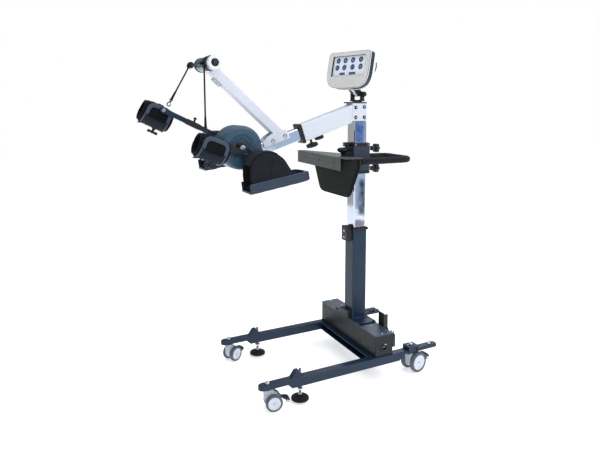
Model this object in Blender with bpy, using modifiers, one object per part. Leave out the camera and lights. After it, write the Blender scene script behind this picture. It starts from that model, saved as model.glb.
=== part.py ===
"""Bedside leg rehabilitation machine: an H-shaped wheeled base, a telescopic column, a sloping
telescopic arm that carries a motor drum with a crank, a boom with two support ropes, two leg
supports with calf cuffs and foot boots, a sliding collar with a shelf and a push handle, and a
tilting console.

Metres, +Z up. The origin is on the floor under the column's axis. -X is the patient's side
(the legs' side), -Y is the near side, +Y is the far side.
"""
import math

import bmesh
import bpy
from mathutils import Matrix, Vector

# ------------------------------------------------------------------ driving dimensions
RAIL_Y = 0.250            # rail axis from the middle plane
RAIL_HALF = 0.020         # 40 mm rail
RAIL_FRONT, RAIL_REAR = -0.645, 0.325
RAIL_LOW, RAIL_TOP = 0.075, 0.117
FOOT_X = -0.445           # levelling foot
FRONT_CASTER = dict(x=-0.603, R=0.0375, wide=0.020, off=0.0240, trail=0.025, top=0.0925, cap=0.1175)
REAR_CASTER = dict(x=0.168, R=0.0500, wide=0.022, off=0.0300, trail=0.022, top=0.0985, cap=0.1355)
YAW = {"front_near": -11.6, "front_far": 26.4, "rear_near": 9.0, "rear_far": 0.0}
BOX_LOW, BOX_TOP = 0.1175, 0.2195
OUTER_COLUMN, INNER_COLUMN = 0.080, 0.070
OUTER_TOP = 0.685
INNER_LOW, INNER_TOP = 0.400, 1.231
ARM_SLOPE = 18.5          # degrees below the horizontal, towards -X
ARM_ROOT = (-0.0463, 0.0, 1.2697)
OUTER_ARM_END, INNER_ARM_END = 0.283, 0.500
BOOM_SLOPE = 42.0
BOOM_POINT = (-0.7337, 0.0, 1.450)
HUB = (-0.765, 0.0, 1.488)
HUB_R = 0.031
DRUM = (-0.635, 0.0, 1.124)
DRUM_R = 0.098
CRANK = (0.0615, -0.0447)  # near pin from the crank's axis, in X and Z
LEG = {"near": dict(side=-1, tilt=21.0, length=0.2255, stud=0.104, heel=(-0.0765, -0.1430)),
       "far": dict(side=1, tilt=26.17, length=0.2746, stud=0.130, heel=(-0.0600, -0.1560))}
BAR_IN, BAR_OUT = 0.0755, 0.0865
PAD_MID = 0.147            # middle of a boot and a cuff, from the middle plane
COLLAR_LOW, COLLAR_TOP = 0.979, 1.121
SHELF_TOP = 1.060
HANDLE_Z = 1.040
CONSOLE = (-0.0687, -0.0144, 1.4826)
CONSOLE_W, CONSOLE_H = 0.275, 0.182
CONSOLE_YAW, CONSOLE_TILT = 15.0, 10.9
CONSOLE_HINGE_Z = 1.3655
GAP = 0.0003
ORIGIN = (0.3600, -0.0675, 0.0)   # from the middle of the bounding box to the column, which the shapes are drawn about

# ------------------------------------------------------------------ scene and helpers
for old in list(bpy.data.objects):
    bpy.data.objects.remove(old, do_unlink=True)
MODEL = bpy.data.collections.new("leg_rehabilitation_machine")
CUTTERS = bpy.data.collections.new("cutters")
for group in (MODEL, CUTTERS):
    bpy.context.scene.collection.children.link(group)
I = Matrix.Identity(4)


def axes(origin, x, z):
    """A frame from its origin, its X and its Z."""
    x, z = Vector(x).normalized(), Vector(z).normalized()
    y = z.cross(x)
    m = Matrix((x, y, z)).transposed().to_4x4()
    m.translation = Vector(origin)
    return m


def sloped(origin, degrees):
    """A frame whose X runs towards -X of the object, raised by degrees; its Y is the object's -Y."""
    a = math.radians(degrees)
    return axes(origin, (-math.cos(a), 0, math.sin(a)), (math.sin(a), 0, math.cos(a)))


ARM = sloped(ARM_ROOT, -ARM_SLOPE)
BOOM = sloped(BOOM_POINT, BOOM_SLOPE)


def linear(colour):
    return [((c / 255 + 0.055) / 1.055) ** 2.4 if c > 10 else c / 255 / 12.92 for c in colour] + [1.0]


def material(name, colour, roughness, metallic=0.0):
    m = bpy.data.materials.new(name)
    m.use_nodes = True
    s = m.node_tree.nodes["Principled BSDF"]
    s.inputs["Base Color"].default_value = linear(colour)
    s.inputs["Roughness"].default_value = roughness
    s.inputs["Metallic"].default_value = metallic
    m.diffuse_color = linear(colour)
    return m


BLUE = ((44, 60, 80), 0.42, 0.0)
LID = ((90, 102, 115), 0.45, 0.0)
BOXED = ((38, 42, 48), 0.5, 0.0)
WHITE = ((226, 231, 240), 0.35, 0.0)
CHROME = ((215, 220, 228), 0.16, 1.0)
STEEL = ((150, 156, 165), 0.35, 1.0)
BLACK = ((22, 24, 30), 0.55, 0.0)
CLOTH = ((24, 26, 31), 0.9, 0.0)
SOLE = ((50, 68, 88), 0.5, 0.0)
SHELF = ((80, 88, 88), 0.5, 0.0)
GUARD = ((24, 30, 26), 0.8, 0.0)
DISC = ((205, 214, 226), 0.45, 0.0)
HOOD = ((190, 203, 210), 0.45, 0.0)
BEZEL = ((206, 212, 222), 0.4, 0.0)
GLASS = ((235, 240, 248), 0.2, 0.0)
FOAM = ((26, 27, 30), 0.85, 0.0)
DRUM_LOOK = ((52, 72, 92), 0.45, 0.0)


def finish(bm):
    bmesh.ops.recalc_face_normals(bm, faces=bm.faces[:])
    if bm.calc_volume(signed=True) < 0:
        bmesh.ops.reverse_faces(bm, faces=bm.faces[:])
    mesh = bpy.data.meshes.new("shape")
    bm.to_mesh(mesh)
    bm.free()
    return mesh


def round_edges(bm, width, segments, keep=None):
    edges = [e for e in bm.edges if len(e.link_faces) == 2 and e.calc_face_angle(0) > math.radians(50)
             and (keep is None or keep(e))]
    bmesh.ops.bevel(bm, geom=edges, offset=width, segments=segments, profile=0.5,
                    affect="EDGES", clamp_overlap=True)


def box(x, y, z, m=I, bevel=0.0, segments=2, along=None):
    """A box from its spans; along keeps the bevel to the edges that run along that axis."""
    bm = bmesh.new()
    spans = (x, y, z)
    size = [b - a for a, b in spans]
    mid = [(a + b) / 2 for a, b in spans]
    bmesh.ops.create_cube(bm, size=1.0, matrix=Matrix.Translation(mid) @ Matrix.Diagonal((*size, 1.0)))
    if bevel:
        i = None if along is None else "XYZ".index(along)
        keep = None if i is None else (lambda e: abs(e.verts[0].co[i] - e.verts[1].co[i]) > 1e-6)
        round_edges(bm, bevel, segments, keep)
    bm.transform(m)
    return finish(bm)


TURN = {"X": Matrix.Rotation(math.pi / 2, 4, "Y"), "Y": Matrix.Rotation(-math.pi / 2, 4, "X"), "Z": I}


def place(axis, centre, span):
    """The middle of a cylinder that lies along an axis: centre holds the two other coordinates."""
    c = list(centre)
    c.insert("XYZ".index(axis), sum(span) / 2)
    return Matrix.Translation(c) @ TURN[axis]


def rod(axis, centre, span, r, r2=None, m=I, segments=16, bevel=0.0):
    """A cylinder (or a cone, from r to r2) along an axis of m."""
    bm = bmesh.new()
    bmesh.ops.create_cone(bm, cap_ends=True, segments=segments, radius1=r, radius2=r if r2 is None else r2,
                          depth=abs(span[1] - span[0]), matrix=place(axis, centre, span))
    if bevel:
        round_edges(bm, bevel, 2)
    bm.transform(m)
    return finish(bm)


def evaluated(obj, m):
    """The object's evaluated mesh, welded and moved by m; the object itself is removed."""
    bpy.context.view_layer.update()
    shape = bpy.data.meshes.new_from_object(obj.evaluated_get(bpy.context.evaluated_depsgraph_get()))
    shape.transform(obj.matrix_world)
    bpy.data.objects.remove(obj, do_unlink=True)
    bm = bmesh.new()
    bm.from_mesh(shape)
    bpy.data.meshes.remove(shape)
    bmesh.ops.remove_doubles(bm, verts=bm.verts[:], dist=0.00002)
    bm.transform(m)
    return bm


def turned(axis, centre, profile, m=I, steps=32):
    """A profile of (radius, height) points turned about an axis; a ring-shaped profile repeats its first point."""
    mesh = bpy.data.meshes.new("profile")
    closed = profile[0] == profile[-1]
    points = profile[:-1] if closed else profile
    edges = [(i, i + 1) for i in range(len(points) - 1)] + ([(len(points) - 1, 0)] if closed else [])
    mesh.from_pydata([(r, 0.0, h) for r, h in points], edges, [])
    obj = bpy.data.objects.new("profile", mesh)
    MODEL.objects.link(obj)
    screw = obj.modifiers.new("turn", "SCREW")
    screw.steps = screw.render_steps = steps
    screw.use_merge_vertices = True
    screw.merge_threshold = 0.00001
    return finish(evaluated(obj, m @ place(axis, centre, (0, 0))))


PLANES = {
    "XY": I,
    "XZ": Matrix(((1, 0, 0, 0), (0, 0, -1, 0), (0, 1, 0, 0), (0, 0, 0, 1))),
    "YZ": Matrix(((0, 0, 1, 0), (1, 0, 0, 0), (0, 1, 0, 0), (0, 0, 0, 1))),
}


def flat(plane, outline, span, m=I, bevel=0.0, segments=2, rim=None):
    """A flat outline, given in a plane, made thick over a span of the third axis; rim keeps the bevel to one face."""
    curve = bpy.data.curves.new("outline", "CURVE")
    curve.dimensions = "2D"
    curve.fill_mode = "BOTH"
    curve.extrude = abs(span[1] - span[0]) / 2
    spline = curve.splines.new("POLY")
    spline.points.add(len(outline) - 1)
    for point, (a, b) in zip(spline.points, outline):
        point.co = (a, b, 0, 1)
    spline.use_cyclic_u = True
    obj = bpy.data.objects.new("outline", curve)
    third = ({"X", "Y", "Z"} - set(plane)).pop()
    shift = [0, 0, 0]
    shift["XYZ".index(third)] = sum(span) / 2
    obj.matrix_world = Matrix.Translation(shift) @ PLANES[plane]
    MODEL.objects.link(obj)
    bm = evaluated(obj, I)
    if bevel:
        bmesh.ops.dissolve_limit(bm, angle_limit=0.001, verts=bm.verts[:], edges=bm.edges[:])
        i = "XYZ".index(third)
        keep = None if rim is None else (lambda e: all(abs(v.co[i] - rim) < 1e-6 for v in e.verts))
        round_edges(bm, bevel, segments, keep)
    bm.transform(m)
    return finish(bm)


def pipe(points, r, cyclic=False, m=I, resolution=3):
    """A round tube along a line of points."""
    curve = bpy.data.curves.new("line", "CURVE")
    curve.dimensions = "3D"
    curve.bevel_depth = r
    curve.bevel_resolution = resolution
    curve.use_fill_caps = not cyclic
    spline = curve.splines.new("POLY")
    spline.points.add(len(points) - 1)
    for point, co in zip(spline.points, points):
        point.co = (*co, 1)
    spline.use_cyclic_u = cyclic
    obj = bpy.data.objects.new("line", curve)
    MODEL.objects.link(obj)
    return finish(evaluated(obj, m))


def bend(points, reach, n=4, cyclic=False):
    """The same line with its corners rounded over a reach on each side."""
    out = []
    count = len(points)
    for i, p in enumerate(points):
        p = Vector(p)
        if not cyclic and i in (0, count - 1):
            out.append(tuple(p))
            continue
        a, b = Vector(points[i - 1]), Vector(points[(i + 1) % count])
        d = min(reach, (a - p).length * 0.49, (b - p).length * 0.49)
        s, e = p + (a - p).normalized() * d, p + (b - p).normalized() * d
        for k in range(n + 1):
            t = k / n
            out.append(tuple(s * (1 - t) ** 2 + p * 2 * t * (1 - t) + e * t * t))
    return out


def arc(centre, r, start, end, n):
    """Points of an arc in a plane, from start to end in degrees."""
    return [(centre[0] + r * math.cos(math.radians(start + (end - start) * k / n)),
             centre[1] + r * math.sin(math.radians(start + (end - start) * k / n))) for k in range(n + 1)]


def stadium(a, b, ra, rb=None, n=6):
    """The outline of a link with round ends, from a to b."""
    rb = ra if rb is None else rb
    t = math.degrees(math.atan2(b[1] - a[1], b[0] - a[0]))
    return arc(a, ra, t + 90, t + 270, n) + arc(b, rb, t - 90, t + 90, n)


BODIES = {}


def body(name, pivot=(0, 0, 0), parent="base"):
    """An empty on the joint's axis; the pieces that move together hang from it."""
    empty = bpy.data.objects.new("at_" + name, None)
    empty.empty_display_size = 0.03
    MODEL.objects.link(empty)
    at = Vector(pivot)
    if name != "base":
        empty.parent = BODIES[parent][0]
        empty.location = at - BODIES[parent][1]
    else:
        empty.location = ORIGIN
    BODIES[name] = (empty, at)


def node(name, of, shape, look, *changes, smooth=35):
    """One piece: its first shape, then joins (+) and cuts (-), in order."""
    empty, at = BODIES[of]

    def held(mesh, title, group):
        mesh.transform(Matrix.Translation(-at))
        mesh.name = title
        obj = bpy.data.objects.new(title, mesh)
        obj.parent = empty
        group.objects.link(obj)
        return obj

    piece = held(shape, name, MODEL)
    piece.data.shade_smooth()
    piece.data.set_sharp_from_angle(angle=math.radians(smooth))
    piece.data.materials.append(material(name, *look))
    for i, (sign, mesh) in enumerate(changes):
        tool = held(mesh, f"{name}_{i}", CUTTERS)
        tool.data.shade_smooth()
        tool.data.set_sharp_from_angle(angle=math.radians(smooth))
        tool.hide_render = True
        tool.display_type = "WIRE"
        boolean = piece.modifiers.new(f"change_{i}", "BOOLEAN")
        boolean.solver = "EXACT"
        boolean.operation = "UNION" if sign == "+" else "DIFFERENCE"
        boolean.object = tool
    return piece


body("base")

# ------------------------------------------------------------------ wheeled base
for name, side in (("near", -1), ("far", 1)):
    y = side * RAIL_Y
    m = Matrix.Translation((0, y, 0))
    plan = arc((RAIL_REAR - RAIL_HALF, 0), RAIL_HALF, -90, 90, 6) + arc((RAIL_FRONT + RAIL_HALF, 0), RAIL_HALF, 90, 270, 6)
    node(f"rail_{name}", "base", flat("XY", plan, (RAIL_LOW, RAIL_TOP), m, bevel=0.003, segments=1), BLUE,
         ("-", flat("XZ", [(-0.70, 0.05), (-0.48, 0.05), (-0.48, 0.065), (-0.512, 0.097), (-0.70, 0.097)], (-0.03, 0.03), m)),
         ("-", flat("XZ", [(0.077, 0.05), (0.40, 0.05), (0.40, 0.102), (0.112, 0.102), (0.077, 0.065)], (-0.03, 0.03), m)),
         ("+", flat("XZ", [(-0.492, 0.110), (-0.432, 0.110), (-0.434, 0.120), (-0.454, 0.147), (-0.470, 0.147), (-0.490, 0.120)], (-0.015, 0.015), m)),
         ("+", box((0.138, 0.198), (-0.0265, 0.0265), (0.1025, 0.135), m, bevel=0.002, segments=1)),
         ("+", rod("Z", (0.282, 0), (0.110, 0.1235), 0.0085, m=m, segments=12)),
         ("+", rod("Y", (0.188, 0.1165), (side * 0.020, side * 0.0305), 0.0065, m=m, segments=10)),
         ("-", box((-0.484, 0.094), (-0.017, 0.017), (0.0785, 0.1135), m)),
         ("-", rod("Z", (FOOT_X, 0), (0.06, 0.16), 0.007, m=m, segments=14)),
         ("-", rod("Z", (FRONT_CASTER["x"], 0), (0.06, 0.16), 0.0064, m=m, segments=14)),
         ("-", rod("Z", (REAR_CASTER["x"], 0), (0.06, 0.16), 0.0064, m=m, segments=14)))

node("cross_channel", "base", box((-0.075, 0.055), (-0.2297, 0.2297), (0.077, 0.117), bevel=0.003, along="Y"), BLUE,
     ("-", box((-0.080, 0.052), (-0.2267, 0.2267), (0.0815, 0.1125))))

node("base_box", "base", box((-0.050, 0.050), (-0.262, 0.262), (BOX_LOW, BOX_TOP), bevel=0.003, along="Z"), BOXED,
     ("-", box((-0.047, 0.047), (-0.259, 0.259), (BOX_LOW + 0.003, 0.24))),
     ("-", box((-0.0155, 0.0155), (-0.27, -0.25), (0.1445, 0.1705))))

COVER_SCREWS = [(-0.003, -0.2465), (0.0056, -0.1406), (0.0163, 0.1609), (-0.003, 0.2465)]
node("box_lid", "base", box((-0.050, 0.050), (-0.262, 0.262), (0.2198, 0.223), bevel=0.003, along="Z"), LID,
     *[("+", rod("Z", p, (0.221, 0.2252), 0.005, r2=0.0035, segments=8)) for p in COVER_SCREWS],
     ("-", box((-0.0405, 0.0405), (-0.0405, 0.0405), (0.21, 0.23))))

half = OUTER_COLUMN / 2
node("outer_column", "base", box((-half, half), (-half, half), (0.121, OUTER_TOP), bevel=0.005, segments=2, along="Z"), BLUE,
     ("+", box((-0.050, 0.050), (-0.120, 0.120), (0.2258, 0.2300))),
     ("+", flat("XY", [(0.0380, -0.0262), *arc((0.105, -0.0150), 0.0112, -90, 90, 6), (0.0380, -0.0038)], (0.2460, 0.2520))),
     ("-", box((-half + 0.004, half - 0.004), (-half + 0.004, half - 0.004), (0.10, 0.70))),
     ("-", box((-0.020, 0.020), (-0.060, -0.030), (0.126, 0.160))))

node("column_ring", "base", box((-0.046, 0.046), (-0.046, 0.046), (0.6853, 0.697), bevel=0.002, segments=1), BLACK,
     ("+", box((-0.068, -0.0404), (-0.030, 0.030), (0.630, 0.705), bevel=0.003, segments=1)),
     ("-", box((-0.0355, 0.0355), (-0.0355, 0.0355), (0.67, 0.72))))

node("lift_actuator", "base", rod("Z", (0, 0), (0.1215, 0.610), 0.025, segments=20), STEEL,
     ("-", rod("Z", (0, 0), (0.140, 0.62), 0.0127, segments=20)))

node("control_unit", "base", box((-0.040, 0.040), (-0.235, -0.060), (0.1215, 0.205)), BLACK,
     ("+", box((-0.015, 0.015), (-0.2655, -0.230), (0.145, 0.170))),
     ("-", box((-0.011, 0.011), (-0.28, -0.2500), (0.149, 0.166))),
     ("-", box((-0.05, 0.05), (-0.21, -0.09), (0.19, 0.21))))

node("rear_bracket", "base", box((0.0503, 0.066), (-0.262, -0.135), (0.150, 0.213), bevel=0.002, segments=1), BLACK,
     ("+", box((0.0503, 0.0543), (-0.186, -0.140), (0.190, 0.289))),
     ("+", box((0.0503, 0.074), (-0.1857, -0.1820), (0.192, 0.284))),
     ("+", rod("Z", (0.059, -0.236), (0.205, 0.226), 0.0028, segments=8)),
     ("+", rod("Z", (0.059, -0.252), (0.205, 0.226), 0.0028, segments=8)))

for name, side in (("near", -1), ("far", 1)):
    body(f"foot_{name}", (FOOT_X, side * RAIL_Y, 0.12))
    node(f"leveling_foot_{name}", f"foot_{name}", turned("Z", (FOOT_X, side * RAIL_Y), [
        (0, 0.152), (0.006, 0.151), (0.006, 0.034), (0.013, 0.032), (0.022, 0.027), (0.037, 0.022),
        (0.040, 0.015), (0.039, 0.009), (0, 0.009)], steps=20), BLACK)

# ------------------------------------------------------------------ twin-wheel casters
for place_name, spec, side in (("front_near", FRONT_CASTER, -1), ("front_far", FRONT_CASTER, 1),
                               ("rear_near", REAR_CASTER, -1), ("rear_far", REAR_CASTER, 1)):
    at = (spec["x"], side * RAIL_Y)
    R, k = spec["R"], spec["R"] / 0.0375
    m = Matrix.Translation((*at, 0)) @ Matrix.Rotation(math.radians(YAW[place_name]), 4, "Z")
    inner, outer = spec["off"] - spec["wide"] / 2, spec["off"] + spec["wide"] / 2
    h = inner - 0.0006
    t = spec["trail"]
    axle = m @ Vector((t, 0, R))
    hinge_x, hinge_z = t + 0.64 * R, R + 0.52 * R
    hinge = m @ Vector((hinge_x, 0, hinge_z))
    body(f"swivel_{place_name}", (*at, 0.09))
    body(f"wheels_at_{place_name}", axle, f"swivel_{place_name}")
    body(f"pedal_at_{place_name}", hinge, f"swivel_{place_name}")
    top = spec["top"]
    side_view = [(-0.017 * k, top), (0.017 * k, top), (t + 0.20 * R, R * 1.93), (t + 0.62 * R, R * 1.76), (t + 0.90 * R, R * 1.40),
                 (t + 0.95 * R, R * 1.05), (t + 0.60 * R, R * 0.70), (t - 0.30 * R, R * 0.55), (t - 0.86 * R, R * 0.75),
                 (-0.0155 * k, R * 1.30)]
    slot = 0.0072 * k
    node(f"caster_hood_{place_name}", f"swivel_{place_name}", flat("XZ", side_view, (-h, h), m, bevel=0.003 * k, segments=1), HOOD,
         ("+", rod("Z", (0, 0), (top - 0.010, spec["cap"] + 0.002), 0.006, m=m, segments=14)),
         ("+", rod("Z", (0, 0), (spec["cap"], spec["cap"] + 0.0085), 0.0100, r2=0.0085, m=m, segments=14)),
         ("-", box((t + 0.36 * R, t + 1.3 * R), (-slot, slot), (R * 1.02, R * 2.2), m)),
         ("+", rod("Y", (hinge_x, hinge_z), (-slot - 0.002, slot + 0.002), 0.0027, m=m, segments=10)),
         ("-", rod("Y", (t, R), (-0.05, 0.05), 0.0044 * k, m=m, segments=14)))
    rim = 0.0035
    node(f"caster_wheels_{place_name}", f"wheels_at_{place_name}", turned("Y", (t, R), [
        (0, outer), (R - rim, outer), (R, outer - rim), (R, inner + rim), (R - rim, inner), (0.004 * k, inner),
        (0.004 * k, -inner), (R - rim, -inner), (R, -inner - rim), (R, -outer + rim), (R - rim, -outer), (0, -outer)], m, steps=24), DISC)
    reach = t + R
    lever = [(hinge_x - 0.0055, hinge_z - 0.001), (hinge_x - 0.003, hinge_z + 0.0052), (hinge_x + 0.005, hinge_z + 0.006),
             (reach + 0.006 * k, 0.0525 * k), (reach + 0.024 * k, 0.0500 * k), (reach + 0.036 * k, 0.0400 * k), (reach + 0.033 * k, 0.0345 * k),
             (reach + 0.020 * k, 0.0400 * k), (reach + 0.004 * k, 0.0450 * k), (hinge_x, hinge_z - 0.0055)]
    node(f"brake_pedal_{place_name}", f"pedal_at_{place_name}", flat("XZ", lever, (-slot + 0.0005, slot - 0.0005), m), BLACK,
         ("+", flat("XZ", [(reach + 0.005 * k, 0.0530 * k), (reach + 0.024 * k, 0.0505 * k), (reach + 0.0365 * k, 0.0400 * k), (reach + 0.033 * k, 0.0338 * k),
                           (reach + 0.019 * k, 0.0395 * k), (reach + 0.004 * k, 0.0445 * k)], (-0.0135 * k, 0.0135 * k), m)),
         ("+", rod("Y", (reach + 0.027 * k, 0.0335 * k), (-0.0125 * k, 0.0125 * k), 0.0085 * k, m=m, segments=12)),
         ("-", rod("Y", (hinge_x, hinge_z), (-0.02, 0.02), 0.0031, m=m, segments=10)))

# ------------------------------------------------------------------ column, arm root and outer arm
body("lift", (0, 0, INNER_LOW))
half = INNER_COLUMN / 2
node("inner_column", "lift", box((-half, half), (-half, half), (INNER_LOW, INNER_TOP), bevel=0.006, segments=2, along="Z"), CHROME,
     ("-", box((-half + 0.003, half - 0.003), (-half + 0.003, half - 0.003), (0.30, 1.30))))
node("actuator_rod", "lift", rod("Z", (0, 0), (0.345, INNER_TOP - GAP), 0.0120, segments=20), CHROME)

node("arm_bracket", "lift", box((-0.046, 0.038), (-0.0305, 0.0305), (1.2313, 1.3217), bevel=0.003, segments=1), WHITE,
     *[("+", rod("Y", p, (-0.0345, 0.0345), 0.0070, segments=8)) for p in ((-0.027, 1.300), (0.0225, 1.3025), (-0.0265, 1.252), (0.0233, 1.252))],
     ("+", box((-0.060, 0.038), (-0.029, 0.029), (1.3205, 1.327))),
     ("-", box((-0.042, 0.034), (-0.0265, 0.0265), (1.22, 1.3160))))

node("outer_arm", "lift", box((-0.06, OUTER_ARM_END), (-0.030, 0.030), (-0.042, 0.042), ARM, bevel=0.005, segments=2, along="X"), WHITE,
     ("-", box((-0.10, 0.40), (-0.026, 0.026), (-0.038, 0.038), ARM)),
     ("-", box((-0.0463, 0.20), (-0.1, 0.1), (1.10, 1.50))),
     ("-", rod("Z", (0.197, 0), (-0.06, -0.03), 0.0046, m=ARM, segments=16)),
     ("-", rod("Z", (0.244, 0), (-0.06, -0.03), 0.0046, m=ARM, segments=16)))

node("arm_end_ring", "lift", box((OUTER_ARM_END + GAP, 0.297), (-0.034, 0.034), (-0.046, 0.046), ARM, bevel=0.003, segments=1), BLACK,
     ("-", box((0.20, 0.40), (-0.021, 0.021), (-0.030, 0.030), ARM)))

for name, s, low, r in (("arm_knob_rear", 0.197, -0.062, 0.0235), ("arm_knob_front", 0.244, -0.084, 0.0300)):
    body(name, ARM @ Vector((s, 0, low)), "lift")
    node(name, name, turned("Z", (s, 0), [
        (0, -0.0305), (0.004, -0.0305), (0.004, low + 0.0180), (r * 0.7, low + 0.0175), (r, low + 0.0140), (r, low + 0.0045), (r * 0.8, low), (0, low)], ARM, steps=20), BLACK)

# ------------------------------------------------------------------ inner arm, boom, hub and ropes
body("arm_inner", ARM @ Vector((0.28, 0, 0)), "lift")
node("inner_arm", "arm_inner", box((0.060, INNER_ARM_END), (-0.020, 0.020), (-0.029, 0.029), ARM, bevel=0.004, segments=2, along="X"), CHROME,
     ("-", box((0.0, 0.6), (-0.017, 0.017), (-0.026, 0.026), ARM)))

hub_t = (BOOM.inverted() @ Vector(HUB)).x
cheek = [(0.352, 0.004), (0.490, 0.004), (0.490, 0.030), (0.462, 0.046), (0.404, 0.060), (0.362, 0.046)]
node("boom", "arm_inner", box((-0.42, hub_t), (-0.025, 0.025), (-0.022, 0.022), BOOM, bevel=0.004, segments=2, along="X"), WHITE,
     ("-", box((0.30, 0.46), (-0.06, 0.06), (-0.16, 0.0300), ARM)),
     ("+", flat("XZ", cheek, (0.0203, 0.0256), ARM)),
     ("+", flat("XZ", cheek, (-0.0256, -0.0203), ARM)),
     ("+", box((0.362, 0.4885), (-0.0235, 0.0235), (0.0293, 0.0345), ARM)),
     ("-", box((-0.47, -0.05), (-0.0215, 0.0215), (-0.0185, 0.0185), BOOM)),
     ("-", box((0.30, 0.55), (-0.0203, 0.0203), (-0.16, 0.0293), ARM)),
     ("+", rod("Y", (0.4402, 0.0180), (-0.0285, -0.0230), 0.0060, m=ARM, segments=8)),
     ("+", rod("Y", (0.3763, 0.0200), (-0.0285, -0.0230), 0.0060, m=ARM, segments=8)),
     ("+", rod("Y", (0.4402, 0.0180), (0.0230, 0.0285), 0.0060, m=ARM, segments=8)),
     ("+", rod("Y", (0.3763, 0.0200), (0.0230, 0.0285), 0.0060, m=ARM, segments=8)),
     ("+", box((-0.055, -0.010), (-0.020, 0.020), (-0.030, -0.0205), BOOM)),
     ("-", rod("Y", (HUB[0], HUB[2]), (-0.2, 0.2), HUB_R + GAP + 0.0004, segments=32)))

node("hub", "arm_inner", turned("Y", (HUB[0], HUB[2]), [
    (0, 0.115), (0.023, 0.115), (HUB_R, 0.105), (HUB_R, -0.030), (0.0260, -0.036), (0.0260, -0.064), (HUB_R, -0.070),
    (HUB_R, -0.105), (0.0170, -0.105), (0.0165, -0.101), (0, -0.101)], steps=30), CHROME,
     ("+", flat("XZ", stadium((HUB[0] - 0.012, HUB[2]), (-0.801, HUB[2]), 0.0083, 0.0072, 7), (-0.0197, -0.0123))),
     ("+", flat("XZ", stadium((HUB[0] - 0.012, HUB[2]), (-0.801, HUB[2]), 0.0083, 0.0072, 7), (0.0903, 0.0977))),
     ("+", turned("Y", (-0.801, HUB[2]), [(0, -0.0223), (0.0044, -0.0223), (0.0044, 0.1292), (0.0100, 0.1292), (0.0100, 0.1570), (0.0120, 0.1585), (0.0120, 0.1680), (0.0070, 0.1740), (0, 0.1740)], steps=16)))

ROPE_R = 0.0035


def spaced(points, step):
    """The same line with a point about every step along it."""
    out = [points[0]]
    for a, b in zip(points, points[1:]):
        a, b = Vector(a), Vector(b)
        n = max(1, round((b - a).length / step))
        out += [tuple(a.lerp(b, i / n)) for i in range(1, n + 1)]
    return out


wrap = [(p[0], -0.050, p[1]) for p in arc((HUB[0], HUB[2]), 0.0260 + ROPE_R + 0.0004, 60, 175, 7)]
near_rope = wrap + spaced([(-0.7985, -0.0575, 1.460), (-0.8172, -0.124, 1.1870)], 0.018)
node("rope_near", "arm_inner", pipe(near_rope, ROPE_R, resolution=2), BLACK)
far_wrap = [(p[0], 0.140, p[1]) for p in arc((-0.801, HUB[2]), 0.0100 + ROPE_R + 0.0006, 35, 215, 8)]
far_rope = far_wrap + spaced([(-0.8235, 0.1385, 1.4590), (-0.9125, 0.1297, 1.3049)], 0.018)
node("rope_far", "arm_inner", pipe(far_rope, ROPE_R, resolution=2), BLACK)

# ------------------------------------------------------------------ motor drum and crank
node("drum_housing", "arm_inner", turned("Y", (DRUM[0], DRUM[2]), [
    (0.014, 0.052), (0.036, 0.052), (0.058, 0.060), (0.090, 0.060), (DRUM_R, 0.052), (DRUM_R, -0.052), (0.090, -0.060), (0.058, -0.060), (0.036, -0.052), (0.014, -0.052),
    (0.014, -0.048), (0.095, -0.048), (0.095, 0.048), (0.014, 0.048), (0.014, 0.052)], steps=32), DRUM_LOOK,
     ("+", box((INNER_ARM_END + GAP, 0.534), (-0.0235, 0.0235), (-0.033, 0.033), ARM, bevel=0.003)))
node("drive_motor", "arm_inner", turned("Y", (DRUM[0], DRUM[2]), [(0.0135, 0.044), (0.066, 0.044), (0.066, -0.044), (0.0135, -0.044), (0.0135, 0.044)], steps=20), STEEL)

body("crank", DRUM, "arm_inner")
pin = {"near": (DRUM[0] + CRANK[0], DRUM[2] + CRANK[1]), "far": (DRUM[0] - CRANK[0], DRUM[2] - CRANK[1])}
axis = (DRUM[0], DRUM[2])
crank_changes = []
for name, side in (("near", -1), ("far", 1)):
    crank_changes += [
        ("+", flat("XZ", stadium(axis, pin[name], 0.0165, 0.0130, 6), tuple(sorted((side * 0.0635, side * 0.0725))))),
        ("+", rod("Y", axis, (side * 0.070, side * 0.0746), 0.0095, segments=12)),
        ("+", rod("Y", pin[name], (side * 0.068, side * 0.0885), 0.0069, segments=16)),
        ("+", rod("Y", pin[name], (side * 0.0871, side * 0.0905), 0.0110, segments=12))]
node("crankset", "crank", rod("Y", axis, (-0.0700, 0.0700), 0.0120, segments=16), BLACK, *crank_changes)

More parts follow.
